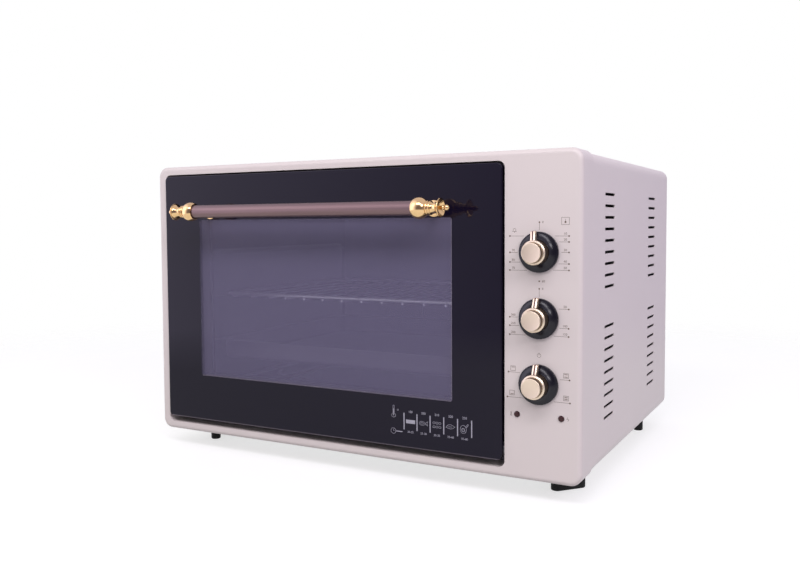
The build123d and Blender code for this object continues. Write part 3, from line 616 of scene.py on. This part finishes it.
def lathe(bm, outline, centre, direction, steps):
    """Spin a half outline, as millimetres along the axis and from it, into a closed form."""
    along = Vector(direction)
    aside = Vector((0, 0, 1))
    points = [bm.verts.new(centre + (along * a + aside * r) * MM) for a, r in outline]
    wire = [bm.edges.new(pair) for pair in zip(points, points[1:])]
    bmesh.ops.spin(bm, geom=points + wire, cent=centre, axis=along, angle=math.tau, steps=steps,
                   use_merge=True)
    whole = set(points) | {v for v in bm.verts if v.link_faces}
    bmesh.ops.remove_doubles(bm, verts=list(whole), dist=1e-7)
    bmesh.ops.recalc_face_normals(bm, faces=bm.faces)


def handle_end(bm, settings, centre, side):
    """A turned end: collar, ball, beads, flared bell and finial, with its post and flange."""
    ball, bead, bell, tip = (size / MM for size in (settings.ball, settings.bead, settings.bell,
                                                    settings.finial))
    # The collar on the tube, and the ball from there to the first bead.
    outline = [(-1.2, 0), (-1.2, 7.6), (-5.6, 7.6), (-6.3, 8.1)]
    outline += arc((0, 0), ball, math.degrees(math.acos(-6.2 / ball)),
                   math.degrees(math.asin((bead - 1.4) / ball)), 22)
    # Two beads.
    outline += arc((9.9, bead - 1.1), 1.1, 165, 0, 8)
    outline += arc((12.9, bead - 1.3), 0.9, 180, 0, 6)
    # The waist, and the bell's outside, rim and hollow.
    outline += [(14.3, 5.9), (14.9, 5.3), (16.0, 5.1), (17.4, 5.2), (18.9, 5.6), (20.4, 6.4),
                (21.8, 7.5), (22.9, 8.7)]
    outline += arc((23.4, bell - 0.6), 0.6, 130, -60, 8)
    outline += [(22.4, 7.4), (21.0, 6.0), (19.8, 4.6), (19.2, 3.2), (19.2, tip - 0.9)]
    # The finial.
    outline += [(22.5, tip - 1.0), (25.5, tip - 0.7), (26.2, tip - 0.2), (26.8, tip - 0.9)]
    outline += arc((30.0, 0), tip, 140, 0, 12)
    lathe(bm, outline, centre, (side, 0, 0), settings.steps)
    # The post from the ball's middle to the pane, with its flange.
    stem, flange, pane = 5.5, 8.7, (GLASS[0].y - centre.y) / MM
    post = [(0, 0), (0, stem), (pane - 3.2, stem), (pane - 3, stem + 0.2)]
    post += arc((pane - 2.2, flange - 0.8), 0.8, 180, 90, 5)
    post += [(pane, flange), (pane, 0)]
    lathe(bm, post, centre, (0, 1, 0), settings.steps)


def knob_skirt(bm, steps, centre):
    """The dished skirt with its narrow rim."""
    bore, rim, seat = 3.1, 20, 6.5
    outline = [(0, bore), (0, rim - 0.3), (0.3, rim)]
    outline += arc((2.3, rim - 0.6), 0.6, 90, 20, 6)
    outline += [(2.98, 18.9), (2.95, 18.6), (3.1, 18.2)]
    outline += [(3.35, 17.4), (3.8, 16.4), (4.5, 15.2), (5.5, 14.0), (6.5, 13.1), (7.3, 12.6)]
    outline += [(7.4, 12.45), (7.2, 12.3), (seat, 12.3), (seat, bore), (0, bore)]
    lathe(bm, outline, centre, (0, -1, 0), steps)


def knob_cap(bm, settings, centre, lean):
    """The stepped metal cap with its chamfered edge and a painted dark reflection on its side walls, and its
    pointer with a dark line.
    """
    radius, face, chamfer = (size / MM for size in (settings.cap_radius, settings.face_radius,
                                                    settings.chamfer))
    # How far the cap's foot, ledge and face stand before the knob's seat.
    foot, ledge, front = 6.5, 19, 25
    brim = ledge - 0.1
    outline = [(foot, 0), (foot, radius - 0.2), (foot + 0.2, radius), (brim - chamfer, radius)]
    outline += [(ledge - chamfer, radius - 0.1), (18.92, radius - chamfer - 0.02)]
    outline += [(ledge, radius - chamfer - 0.2), (18.98, face + 0.35), (18.8, face + 0.1)]
    outline += [(19.1, face), (24.3, face), (24.6, face - 0.08), (24.93, face - 0.4)]
    outline += [(front, face - 0.65), (24.93, face - 0.9), (24.88, face - 1.2), (24.88, 0)]
    lathe(bm, outline, centre, (0, -1, 0), settings.steps)
    cap_faces = set(bm.faces)
    # Side walls of the cap's tiers take the third material, a painted dark reflection of the skirt.
    for flat in cap_faces:
        height = (centre.y - flat.calc_center_median().y) / MM
        painted_reflection_face = height < brim - chamfer or brim < height < front - 0.6
        if painted_reflection_face and abs(flat.normal.y) < 0.3:
            flat.material_index = 2
    # The pointer: a bar with sloping ends, square to the face.
    half, side = 2.4, [(8.7, 10.0), (5.7, 20.8), (10.7, 20.8), (15.8, 10.0)]
    sheet = bm.faces.new([bm.verts.new(centre + Vector((-half, -a, r)) * MM) for a, r in side])
    pushed = bmesh.ops.extrude_face_region(bm, geom=[sheet])["geom"]
    bmesh.ops.translate(bm, vec=Vector((2 * half * MM, 0, 0)),
                        verts=[g for g in pushed if isinstance(g, bmesh.types.BMVert)])
    edges = {edge for f in bm.faces if f not in cap_faces for edge in f.edges}
    bmesh.ops.bevel(bm, geom=list(edges), offset=0.45 * MM, segments=3, profile=0.5,
                    affect="EDGES", material=-1)
    line = [(15.2, 11.2), (10.95, 20.2), (10.6, 20.85), (7.2, 20.85)]
    for start, end in zip(line, line[1:]):
        strip(bm, centre, start, end, 1.5)
    bmesh.ops.recalc_face_normals(bm, faces=bm.faces)
    bmesh.ops.rotate(bm, cent=centre, verts=bm.verts, matrix=Matrix.Rotation(-lean, 3, "Y"))


def strip(bm, centre, start, end, width):
    """One run of the pointer's inlaid line, standing a hair proud of the metal."""
    run = Vector((0, start[0] - end[0], end[1] - start[1]))
    middle = centre + Vector((0, -(start[0] + end[0]) / 2, (start[1] + end[1]) / 2)) * MM
    turn = Matrix.Rotation(math.atan2(run.z, run.y), 4, "X")
    size = Matrix.Diagonal((width * MM, (run.length + 0.05) * MM, 0.12 * MM, 1))
    made = bmesh.ops.create_cube(bm, size=1, matrix=Matrix.Translation(middle) @ turn @ size)
    for face in {f for v in made["verts"] for f in v.link_faces}:
        face.material_index = 1


class Pen:
    """Draws flat printed marks on a plane that faces forward; places are in millimetres."""

    def __init__(self, surface, width):
        self.bm, self.y, self.width = bmesh.new(), surface - INK_GAP, width

    def run(self, start, end, width=None):
        """A straight stroke between two points."""
        (x0, z0), (x1, z1) = start, end
        middle = Vector(((x0 + x1) / 2 * MM, self.y, (z0 + z1) / 2 * MM))
        reach = math.hypot(x1 - x0, z1 - z0) * MM
        turn = Matrix.Rotation(-math.atan2(z1 - z0, x1 - x0), 4, "Y")
        width = width * MM if width else self.width
        size = Matrix.Diagonal((reach + 0.6 * width, INK_DEPTH, width, 1))
        bmesh.ops.create_cube(self.bm, size=1, matrix=Matrix.Translation(middle) @ turn @ size)

    def path(self, points, closed=False, width=None):
        """Strokes through several points."""
        ends = points[1:] + points[:1] if closed else points[1:]
        for start, end in zip(points, ends):
            self.run(start, end, width)

    def shape(self, x, z, points, closed=True):
        """Strokes through points that are given from a middle."""
        self.path([(x + across, z + up) for across, up in points], closed)

    def ring(self, x, z, radius, sides=16, squash=1.0, width=None):
        """A circle or an oval."""
        turns = [math.tau * n / sides for n in range(sides)]
        self.path([(x + radius * math.cos(t), z + squash * radius * math.sin(t)) for t in turns], True, width)

    def dot(self, x, z, radius):
        """A filled round dot."""
        turn = Matrix.Translation((x * MM, self.y, z * MM)) @ Matrix.Rotation(math.pi / 2, 4, "X")
        bmesh.ops.create_cone(self.bm, cap_ends=True, segments=14, radius1=radius * MM,
                              radius2=radius * MM, depth=INK_DEPTH, matrix=turn)

    def box(self, x, z, width, height):
        """The outline of a box about its middle."""
        x0, x1, z0, z1 = x - width / 2, x + width / 2, z - height / 2, z + height / 2
        self.path([(x0, z0), (x1, z0), (x1, z1), (x0, z1)], True)

    def figures(self, text, x, z, height):
        """Figures centred on a point."""
        curve = bpy.data.curves.new("figures", "FONT")
        curve.body, curve.size, curve.resolution_u = text, height / FIGURE_SHARE * MM, 3
        curve.align_x, curve.align_y, curve.extrude = "CENTER", "CENTER", INK_DEPTH / 2
        holder = show("figures", curve)
        mesh = bpy.data.meshes.new_from_object(holder)
        mesh.transform(Matrix.Translation((x * MM, self.y, z * MM)) @ Matrix.Rotation(math.pi / 2, 4, "X"))
        self.bm.from_mesh(mesh)
        bpy.data.objects.remove(holder)
        bpy.data.curves.remove(curve)
        bpy.data.meshes.remove(mesh)


def side_mark(pen, centre, reach, rise, text="", height=1):
    """A leader line from beside the knob to an end dot, with its figures above."""
    side = math.copysign(1, reach)
    start = side * max(9, math.sqrt(LINE_START ** 2 - rise ** 2))
    x, z = centre
    pen.run((x + start, z + rise), (x + reach, z + rise))
    pen.dot(x + reach, z + rise, DOT)
    if text:
        pen.figures(text, x + reach - side * 3.6, z + rise + 2.2, height)


def heat_icon(pen, x, z, above, below, wave):
    """A small oven outline with the working elements drawn in."""
    pen.box(x, z, 5.0, 4.6)
    for works, rise in ((above, 1.2), (below, -1.2)):
        if works:
            pen.run((x - 1.5, z + rise), (x + 1.5, z + rise), 0.6)
    if wave:
        pen.shape(x, z, [(-1.5, 0), (-0.75, 0.5), (0, 0), (0.75, -0.5), (1.5, 0)], False)


def bell_icon(pen, x, z):
    """A small bell."""
    half = [(-2.0, -1.4), (-1.4, -0.6), (-1.3, 0.6), (-0.6, 1.5)]
    pen.shape(x, z, half + [(-across, up) for across, up in reversed(half)])
    pen.dot(x, z - 2.0, 0.45)


def timer_marks(pen, centre, settings):
    """The timer's scale, with a bell where it rings and a small box above."""
    words = settings.timer_marks.split()
    height = settings.figures / MM
    for rise, text in zip((15.8, 10.1, 0, -11.1, -17.3), words):
        side_mark(pen, centre, DOTS_RIGHT, rise, text, height)
    for rise, text in zip((-18.1, -10.1, -0.5, 15.7), [*words[6:9], ""]):
        side_mark(pen, centre, DOTS_LEFT, rise, text, height)
    x, z = centre
    pen.dot(x, z + DOT_BELOW, DOT)
    pen.figures(words[5], x + 4.2, z + DOT_BELOW, height)
    bell_icon(pen, x - 25.6, z + 21.6)
    box = x + 25.9
    pen.box(box, z + 30.2, 7.6, 7.0)
    pen.dot(box, z + 29.2, 1.0)
    pen.run((box, z + 29.2), (box, z + 32.2))


def thermostat_marks(pen, centre, settings):
    """The thermostat's scale."""
    reaches = [DOTS_RIGHT] * 3 + [DOTS_LEFT] * 3
    rises = (10.2, -8.5, -16.5, -17.1, -8.1, 0.3)
    for reach, rise, text in zip(reaches, rises, settings.thermostat_marks.split()):
        side_mark(pen, centre, reach, rise, text, settings.figures / MM)


def selector_marks(pen, centre):
    """The selector's four ways of heating and its off mark."""
    x, z = centre
    # Each way's dot, its icon's place, and whether that shows top heat, bottom heat and a wave.
    ways = [((-31.6, 10.2), (-26.9, 14.0), (True, False, False)),
            ((-32.7, -15.1), (-27.9, -10.6), (False, True, False)),
            ((30.6, 6.5), (27.1, 10.6), (True, True, False)),
            ((31.2, -15.9), (27.2, -11.4), (True, True, True))]
    for dot, (across, up), heats in ways:
        side_mark(pen, centre, *dot)
        heat_icon(pen, x + across, z + up, *heats)
    pen.ring(x, z + 28.6, 1.9, 12)
    pen.run((x, z + 28.8), (x, z + 31.4))


def top_mark(pen, centre, height):
    """The zero line above a knob."""
    x, z = centre
    pen.run((x, z + 21.6), (x, z + DOT_ABOVE))
    pen.dot(x, z + DOT_ABOVE, DOT)
    pen.figures("0", x + 3.4, z + DOT_ABOVE, height)


def lamp_icons(pen):
    """A small thermometer beside one lamp and a plug-like mark beside the other."""
    left, right = (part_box(f"lamp_lens_{side}") for side in ("left", "right"))
    x, z = left[0].x / MM - 3.2, (left[0].z + left[1].z) / 2 / MM
    pen.shape(x, z, [(-0.4, 1.8), (-0.4, -0.6), (-0.9, -1.4), (0, -2.0),
                     (0.9, -1.4), (0.4, -0.6), (0.4, 1.8)])
    x = right[1].x / MM + 3.6
    pen.shape(x, z, [(-0.2, 1.9), (-1.0, 0), (0.9, 0), (0.1, -1.9)], False)


def cooking_guide(pen):
    """The guide on the pane: dishes between bars, degrees, minutes, a thermometer and clock."""
    bars = (78.8, 94.3, 109.7, 125.5, 141.2, 157.0)
    degrees = ("180", "200", "210", "220", "230")
    minutes = ("20-25", "25-30", "30-35", "35-40", "50-60")
    for x in bars:
        pen.run((x, 59.4), (x, 76.7), 1.15)
    drawings = (flat_loaf, whole_fish, small_cakes, leaf_roll, roast_leg)
    for left, right, hot, long, draw in zip(bars, bars[1:], degrees, minutes, drawings):
        middle = (left + right) / 2
        pen.figures(hot, middle, 78.6, 2.5)
        pen.figures(long, middle, 56.9, 2.3)
        draw(pen, middle, 68.0)
    pen.path([(65.4, 83.6), (65.4, 75.6), (63.9, 74.0), (64.0, 72.0), (66.2, 71.0),
              (68.4, 72.0), (68.5, 74.0), (67.0, 75.6), (67.0, 83.6), (66.2, 84.2)], True)
    pen.run((66.2, 80.2), (66.2, 73.2), 0.7)
    pen.ring(71.4, 79.6, 0.8, 10)
    pen.ring(65.8, 56.3, 3.0)
    pen.path([(65.8, 58.2), (65.8, 56.3), (67.2, 56.3)])
    pen.run((69.4, 56.3), (76.6, 56.3), 0.9)


def flat_loaf(pen, x, z):
    """A flat loaf, filled with strokes."""
    for drop in (1.6, 0.6, -0.4, -1.4):
        pen.run((x - 5.2, z + drop), (x + 5.2, z + drop), 0.9)


def whole_fish(pen, x, z):
    """A fish with its tail."""
    pen.ring(x - 1.6, z, 3.4, 14, 0.62)
    pen.ring(x - 1.6, z, 1.8, 12, 0.5)
    pen.shape(x, z, [(1.6, 0), (5.0, 2.4), (4.2, 0), (5.0, -2.4)])


def small_cakes(pen, x, z):
    """Two rows of small cakes."""
    for row in (-1, 1):
        for column in (-1, 0, 1):
            pen.ring(x + 3.4 * column, z + 2.1 * row, 1.4, 10, 0.8)


def leaf_roll(pen, x, z):
    """A long roll with pointed ends."""
    pen.shape(x, z, [(-5.4, -1.0), (-3.0, 1.6), (0, 2.2), (2.6, 1.2), (5.0, 0.2), (2.8, -1.6),
                     (-0.2, -2.4), (-3.2, -1.8)])
    pen.run((x - 2.6, z - 0.2), (x + 1.6, z - 0.2))


def roast_leg(pen, x, z):
    """A roast leg with its bone."""
    pen.ring(x - 1.4, z - 1.2, 3.4, 14, 1.25)
    pen.ring(x - 1.6, z - 1.8, 1.5, 10, 1.1, 0.9)
    pen.shape(x, z, [(1.2, 1.8), (3.6, 4.6), (4.6, 4.0), (2.2, 1.0)])


def crossed_head(bm, centre):
    """A domed screw head with a cross recess, facing back."""
    loops = []
    for height, radius in [(0, SCREW_HEAD), (0.5, SCREW_HEAD), (1.2, 3.1), (1.7, 2.3)]:
        place = centre + Vector((0, height * MM, 0))
        turn = Matrix.Translation(place) @ Matrix.Rotation(-math.pi / 2, 4, "X")
        made = bmesh.ops.create_circle(bm, segments=24, radius=radius * MM, matrix=turn)
        loops.append({e for v in made["verts"] for e in v.link_edges})
    near, far = 0.35, 1.5
    cross = [(near, near), (near, far), (-near, far)]
    for _ in range(3):
        cross += [(-z, x) for x, z in cross[-3:]]
    for height in (1.95, 0.9):
        ring = [bm.verts.new(centre + Vector((x, height, z)) * MM) for x, z in cross]
        loops.append({bm.edges.new(pair) for pair in zip(ring, ring[1:] + ring[:1])})
    for outer, inner in zip(loops, loops[1:]):
        bmesh.ops.bridge_loops(bm, edges=list(outer | inner))
    bm.faces.new(ring)


class OVEN_OT_stage(bpy.types.Operator):
    """Set the camera, the floor, the world and the lamps"""

    bl_idname = "mini_oven.stage"
    bl_label = "Camera, floor and light"

    def execute(self, context):
        settings = context.scene.mini_oven.stage
        context.scene.view_settings.view_transform = "Standard"
        self.aim_camera(context, settings)
        self.lay_floor(settings)
        self.light_world(context, settings)
        self.hang_lamps(settings)
        return {"FINISHED"}

    def aim_camera(self, context, settings):
        camera = bpy.data.cameras.new("camera")
        camera.sensor_width, camera.lens = 36, settings.lens
        camera.shift_x = (PHOTO_WIDTH / 2 - AXIS_ACROSS) / PHOTO_WIDTH
        camera.shift_y = (AXIS_DOWN - PHOTO_HEIGHT / 2) / PHOTO_WIDTH
        holder = show("camera", camera)
        turn = (Matrix.Rotation(settings.heading, 4, "Z")
                @ Matrix.Rotation(math.pi / 2 - settings.tilt, 4, "X")
                @ Matrix.Rotation(settings.roll, 4, "Z"))
        holder.matrix_world = Matrix.Translation(settings.camera) @ turn
        context.scene.camera = holder

    def lay_floor(self, settings):
        """A pale floor that keeps the shadow, is white where it is seen, and fades out."""
        bm = bmesh.new()
        bmesh.ops.create_grid(bm, x_segments=2, y_segments=2, size=FLOOR_HALF)
        mesh = bpy.data.meshes.new("floor")
        bm.to_mesh(mesh)
        bm.free()
        floor = show("floor", mesh)
        finish = Finish("floor", base_color=settings.floor, roughness=0.8, specular_ior_level=0.1)
        across, back = finish.axis("X"), finish.axis("Y")
        reach = (across * across + back * back) ** 0.5
        seen = (finish.ray("Camera") + finish.ray("Glossy") + finish.ray("Transmission")).at_most(1)
        finish.set(emission_color=finish.shade(seen, (0, 0, 0), (settings.lift,) * 3),
                   emission_strength=1.0, alpha=((FLOOR_END - reach) * 1.6).clipped())
        mesh.materials.append(finish.material)

    def light_world(self, context, settings):
        """White where it is seen, a plain room where it is mirrored, else soft light."""
        world = bpy.data.worlds.new("studio")
        world.use_nodes = True
        context.scene.world = world
        tree = Tree(world.node_tree)
        way = tree.add("ShaderNodeTexCoord", out="Generated")
        right = tree.add("ShaderNodeSeparateXYZ", values={0: way}, out="X")
        behind, window = (
            tree.add("ShaderNodeVectorMath", {"operation": "DOT_PRODUCT"}, {0: way, 1: towards},
                     "Value") for towards in (BEHIND_CAMERA, FRONT_LEFT))
        room = tree.shade((window * 2 - 0.9).clipped(), settings.sides, settings.bright)
        room = tree.shade((behind * 1.6 - 0.45).clipped(), room, settings.dark)
        ambient = tree.shade((1.4 * right).clipped(), (settings.ambient,) * 3, settings.shade)
        light = tree.shade(tree.ray("Glossy"), ambient, room)
        seen = (tree.ray("Camera") + tree.ray("Transmission")).at_most(1)
        tree.put(tree.nodes["Background"], {"Color": tree.shade(seen, light, (1, 1, 1))})

    def hang_lamps(self, settings):
        for name, (place, size, tint) in LAMPS.items():
            lamp = bpy.data.lights.new(name, "AREA")
            lamp.shape, lamp.energy, lamp.color = "ELLIPSE", getattr(settings, name), tint
            lamp.size, lamp.size_y = size
            holder = show(name, lamp)
            holder.location = place
            aim = Vector(LAMP_TARGET) - Vector(place)
            holder.rotation_euler = aim.to_track_quat("-Z", "Y").to_euler()


class OVEN_OT_body(bpy.types.Operator):
    """Finish the painted body, the sheet steel and the small fixings"""

    bl_idname = "mini_oven.body"
    bl_label = "Body"

    def execute(self, context):
        settings = context.scene.mini_oven.body
        dress(cream_paint(settings), "front_panel", "cabinet_shell")
        dress(galvanised(settings), "back_panel", "bottom_panel", "heat_shield", "control_bracket")
        dress(zinc_plate(settings), *pairs("hinge_bracket", "hinge_pin", "stay_arm"),
              *(f"{knob}_shaft" for knob in KNOBS), "bushing_nuts", "bracket_screws",
              "foot_screws", "handle_screws", "thermostat_sensor")
        dress(moulded_plastic(settings), *(f"{knob}_body" for knob in KNOBS),
              *pairs("lamp_holder"), "terminal_block", "cable_gland")
        dress(foot_rubber(settings), *pairs("foot_front", "foot_rear"))
        return {"FINISHED"}


class OVEN_OT_back_screws(bpy.types.Operator):
    """Make the back panel's screws with their cross recesses"""

    bl_idname = "mini_oven.back_screws"
    bl_label = "Back screws"

    def execute(self, context):
        low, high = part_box("back_screws")
        head, face = SCREW_HEAD * MM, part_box("back_panel")[1].y
        left, right, floor, roof = low.x + head, high.x - head, low.z + head, high.z - head
        middle = (floor + roof) / 2
        places = [(x, z) for x in (left, 0, right) for z in (floor, roof)]
        bm = bmesh.new()
        for x, z in places + [(left, middle), (right, middle)]:
            crossed_head(bm, Vector((x, face, z)))
        bmesh.ops.recalc_face_normals(bm, faces=bm.faces)
        piece("back_screw_heads", bm, [zinc_plate(context.scene.mini_oven.body)], "oven",
              ["back_screws"], 30)
        return {"FINISHED"}


class OVEN_OT_door(bpy.types.Operator):
    """Finish the door's panes and its pressed steel"""

    bl_idname = "mini_oven.door"
    bl_label = "Door"

    def execute(self, context):
        settings = context.scene.mini_oven.door
        dress(printed_glass(settings), "door_outer_glass")
        dress(clear_glass(settings), "door_inner_glass")
        dress(heatproof_paint(settings), "door_frame", "window_surround")
        return {"FINISHED"}


class OVEN_OT_handle(bpy.types.Operator):
    """Turn the brass ends of the handle and finish its tube"""

    bl_idname = "mini_oven.handle"
    bl_label = "Handle"

    def execute(self, context):
        settings = context.scene.mini_oven.handle
        dress(bronze_tube(settings), "handle_tube")
        brass = polished_brass(settings)
        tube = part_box("handle_tube")
        middle = (tube[0] + tube[1]) / 2
        for side, word in ((-1, "left"), (1, "right")):
            low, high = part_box(f"handle_end_{word}")
            x = (low.x + END_REACH * MM) if side < 0 else (high.x - END_REACH * MM)
            x -= side * settings.inset
            bm = bmesh.new()
            handle_end(bm, settings, Vector((x, middle.y, middle.z)), side)
            piece(f"turned_end_{word}", bm, [brass], "door", [f"handle_end_{word}"], 50)
        return {"FINISHED"}


class OVEN_OT_knobs(bpy.types.Operator):
    """Turn the three knobs' skirts and caps"""

    bl_idname = "mini_oven.knobs"
    bl_label = "Knobs"

    def execute(self, context):
        settings = context.scene.mini_oven.knobs
        black, line, painted_wall_reflection = gloss_black(settings), inlay_paint(settings), dark_bronze(settings)
        for name, (low, high) in KNOBS.items():
            centre = Vector(((low.x + high.x) / 2, high.y, (low.z + high.z) / 2))
            body = f"{name}_knob"
            bm = bmesh.new()
            knob_skirt(bm, settings.steps, centre)
            piece(f"{name}_skirt", bm, [black], body, [f"{body}_skirt"], 40)
            bm = bmesh.new()
            knob_cap(bm, settings, centre, settings.timer_lean if name == "timer" else 0)
            piece(f"{name}_cap", bm, [champagne(settings, name, centre), line, painted_wall_reflection], body,
                  [f"{body}_cap"])
        return {"FINISHED"}


class OVEN_OT_lamps(bpy.types.Operator):
    """Finish the two pilot lamps"""

    bl_idname = "mini_oven.lamps"
    bl_label = "Lamps"

    def execute(self, context):
        dress(lamp_red(context.scene.mini_oven.lamps), *pairs("lamp_lens"))
        return {"FINISHED"}


class OVEN_OT_panel_marks(bpy.types.Operator):
    """Print the scales and icons on the control panel"""

    bl_idname = "mini_oven.panel_marks"
    bl_label = "Panel marks"

    def execute(self, context):
        settings = context.scene.mini_oven.prints
        pen = Pen(PANEL[0].y, settings.line)
        centres = {name: ((low.x + high.x) / 2 / MM, (low.z + high.z) / 2 / MM)
                   for name, (low, high) in KNOBS.items()}
        timer_marks(pen, centres["timer"], settings)
        thermostat_marks(pen, centres["thermostat"], settings)
        selector_marks(pen, centres["selector"])
        for name in ("timer", "thermostat"):
            top_mark(pen, centres[name], settings.figures / MM)
        lamp_icons(pen)
        piece("panel_marks", pen.bm, [ink("panel_ink", settings.panel_ink)], "oven")
        return {"FINISHED"}


class OVEN_OT_cooking_guide(bpy.types.Operator):
    """Print the cooking guide on the door's pane"""

    bl_idname = "mini_oven.cooking_guide"
    bl_label = "Cooking guide"

    def execute(self, context):
        settings = context.scene.mini_oven.prints
        pen = Pen(GLASS[0].y, settings.line)
        cooking_guide(pen)
        piece("cooking_guide", pen.bm, [ink("glass_ink", settings.glass_ink)], "door")
        return {"FINISHED"}


class OVEN_OT_chamber(bpy.types.Operator):
    """Finish the chamber, rails, rack, tray and elements"""

    bl_idname = "mini_oven.chamber"
    bl_label = "Chamber"

    def execute(self, context):
        settings = context.scene.mini_oven.chamber
        dress(speckled_enamel(settings), "cavity_liner", "baking_tray")
        dress(rail_steel(settings), *pairs("side_rail"), "lower_heater_clip", "upper_heater_clip")
        dress(chrome_wire(settings), "wire_rack")
        dress(oxidised_sheath(settings), "lower_heater", "upper_heater")
        dress(bisque_ceramic(settings), "heater_beads")
        return {"FINISHED"}


class OVEN_PT_panel(bpy.types.Panel):
    """The mini oven's tools"""

    bl_label = "Mini Oven"
    bl_idname = "OVEN_PT_panel"
    bl_space_type = "VIEW_3D"
    bl_region_type = "UI"
    bl_category = "Mini Oven"

    def draw(self, context):
        for operator in OPERATORS:
            self.layout.operator(operator.bl_idname)


SETTINGS = (BodySettings, DoorSettings, HandleSettings, KnobSettings, PrintSettings,
            ChamberSettings, LampSettings, StageSettings, OvenSettings)
OPERATORS = (OVEN_OT_stage, OVEN_OT_body, OVEN_OT_back_screws, OVEN_OT_door, OVEN_OT_handle,
             OVEN_OT_knobs, OVEN_OT_lamps, OVEN_OT_panel_marks, OVEN_OT_cooking_guide, OVEN_OT_chamber)


def register():
    """Register the settings, operators and panel."""
    for cls in (*SETTINGS, *OPERATORS, OVEN_PT_panel):
        bpy.utils.register_class(cls)
    bpy.types.Scene.mini_oven = PointerProperty(type=OvenSettings)


def unregister():
    """Take them away again."""
    del bpy.types.Scene.mini_oven
    for cls in reversed((*SETTINGS, *OPERATORS, OVEN_PT_panel)):
        bpy.utils.unregister_class(cls)


def main():
    """Register the add-on and dress the oven."""
    register()
    bpy.ops.mini_oven.stage()
    bpy.ops.mini_oven.body()
    bpy.ops.mini_oven.back_screws()
    bpy.ops.mini_oven.door()
    bpy.ops.mini_oven.handle()
    bpy.ops.mini_oven.knobs()
    bpy.ops.mini_oven.lamps()
    bpy.ops.mini_oven.panel_marks()
    bpy.ops.mini_oven.cooking_guide()
    bpy.ops.mini_oven.chamber()


if __name__ == "__main__":
    main()
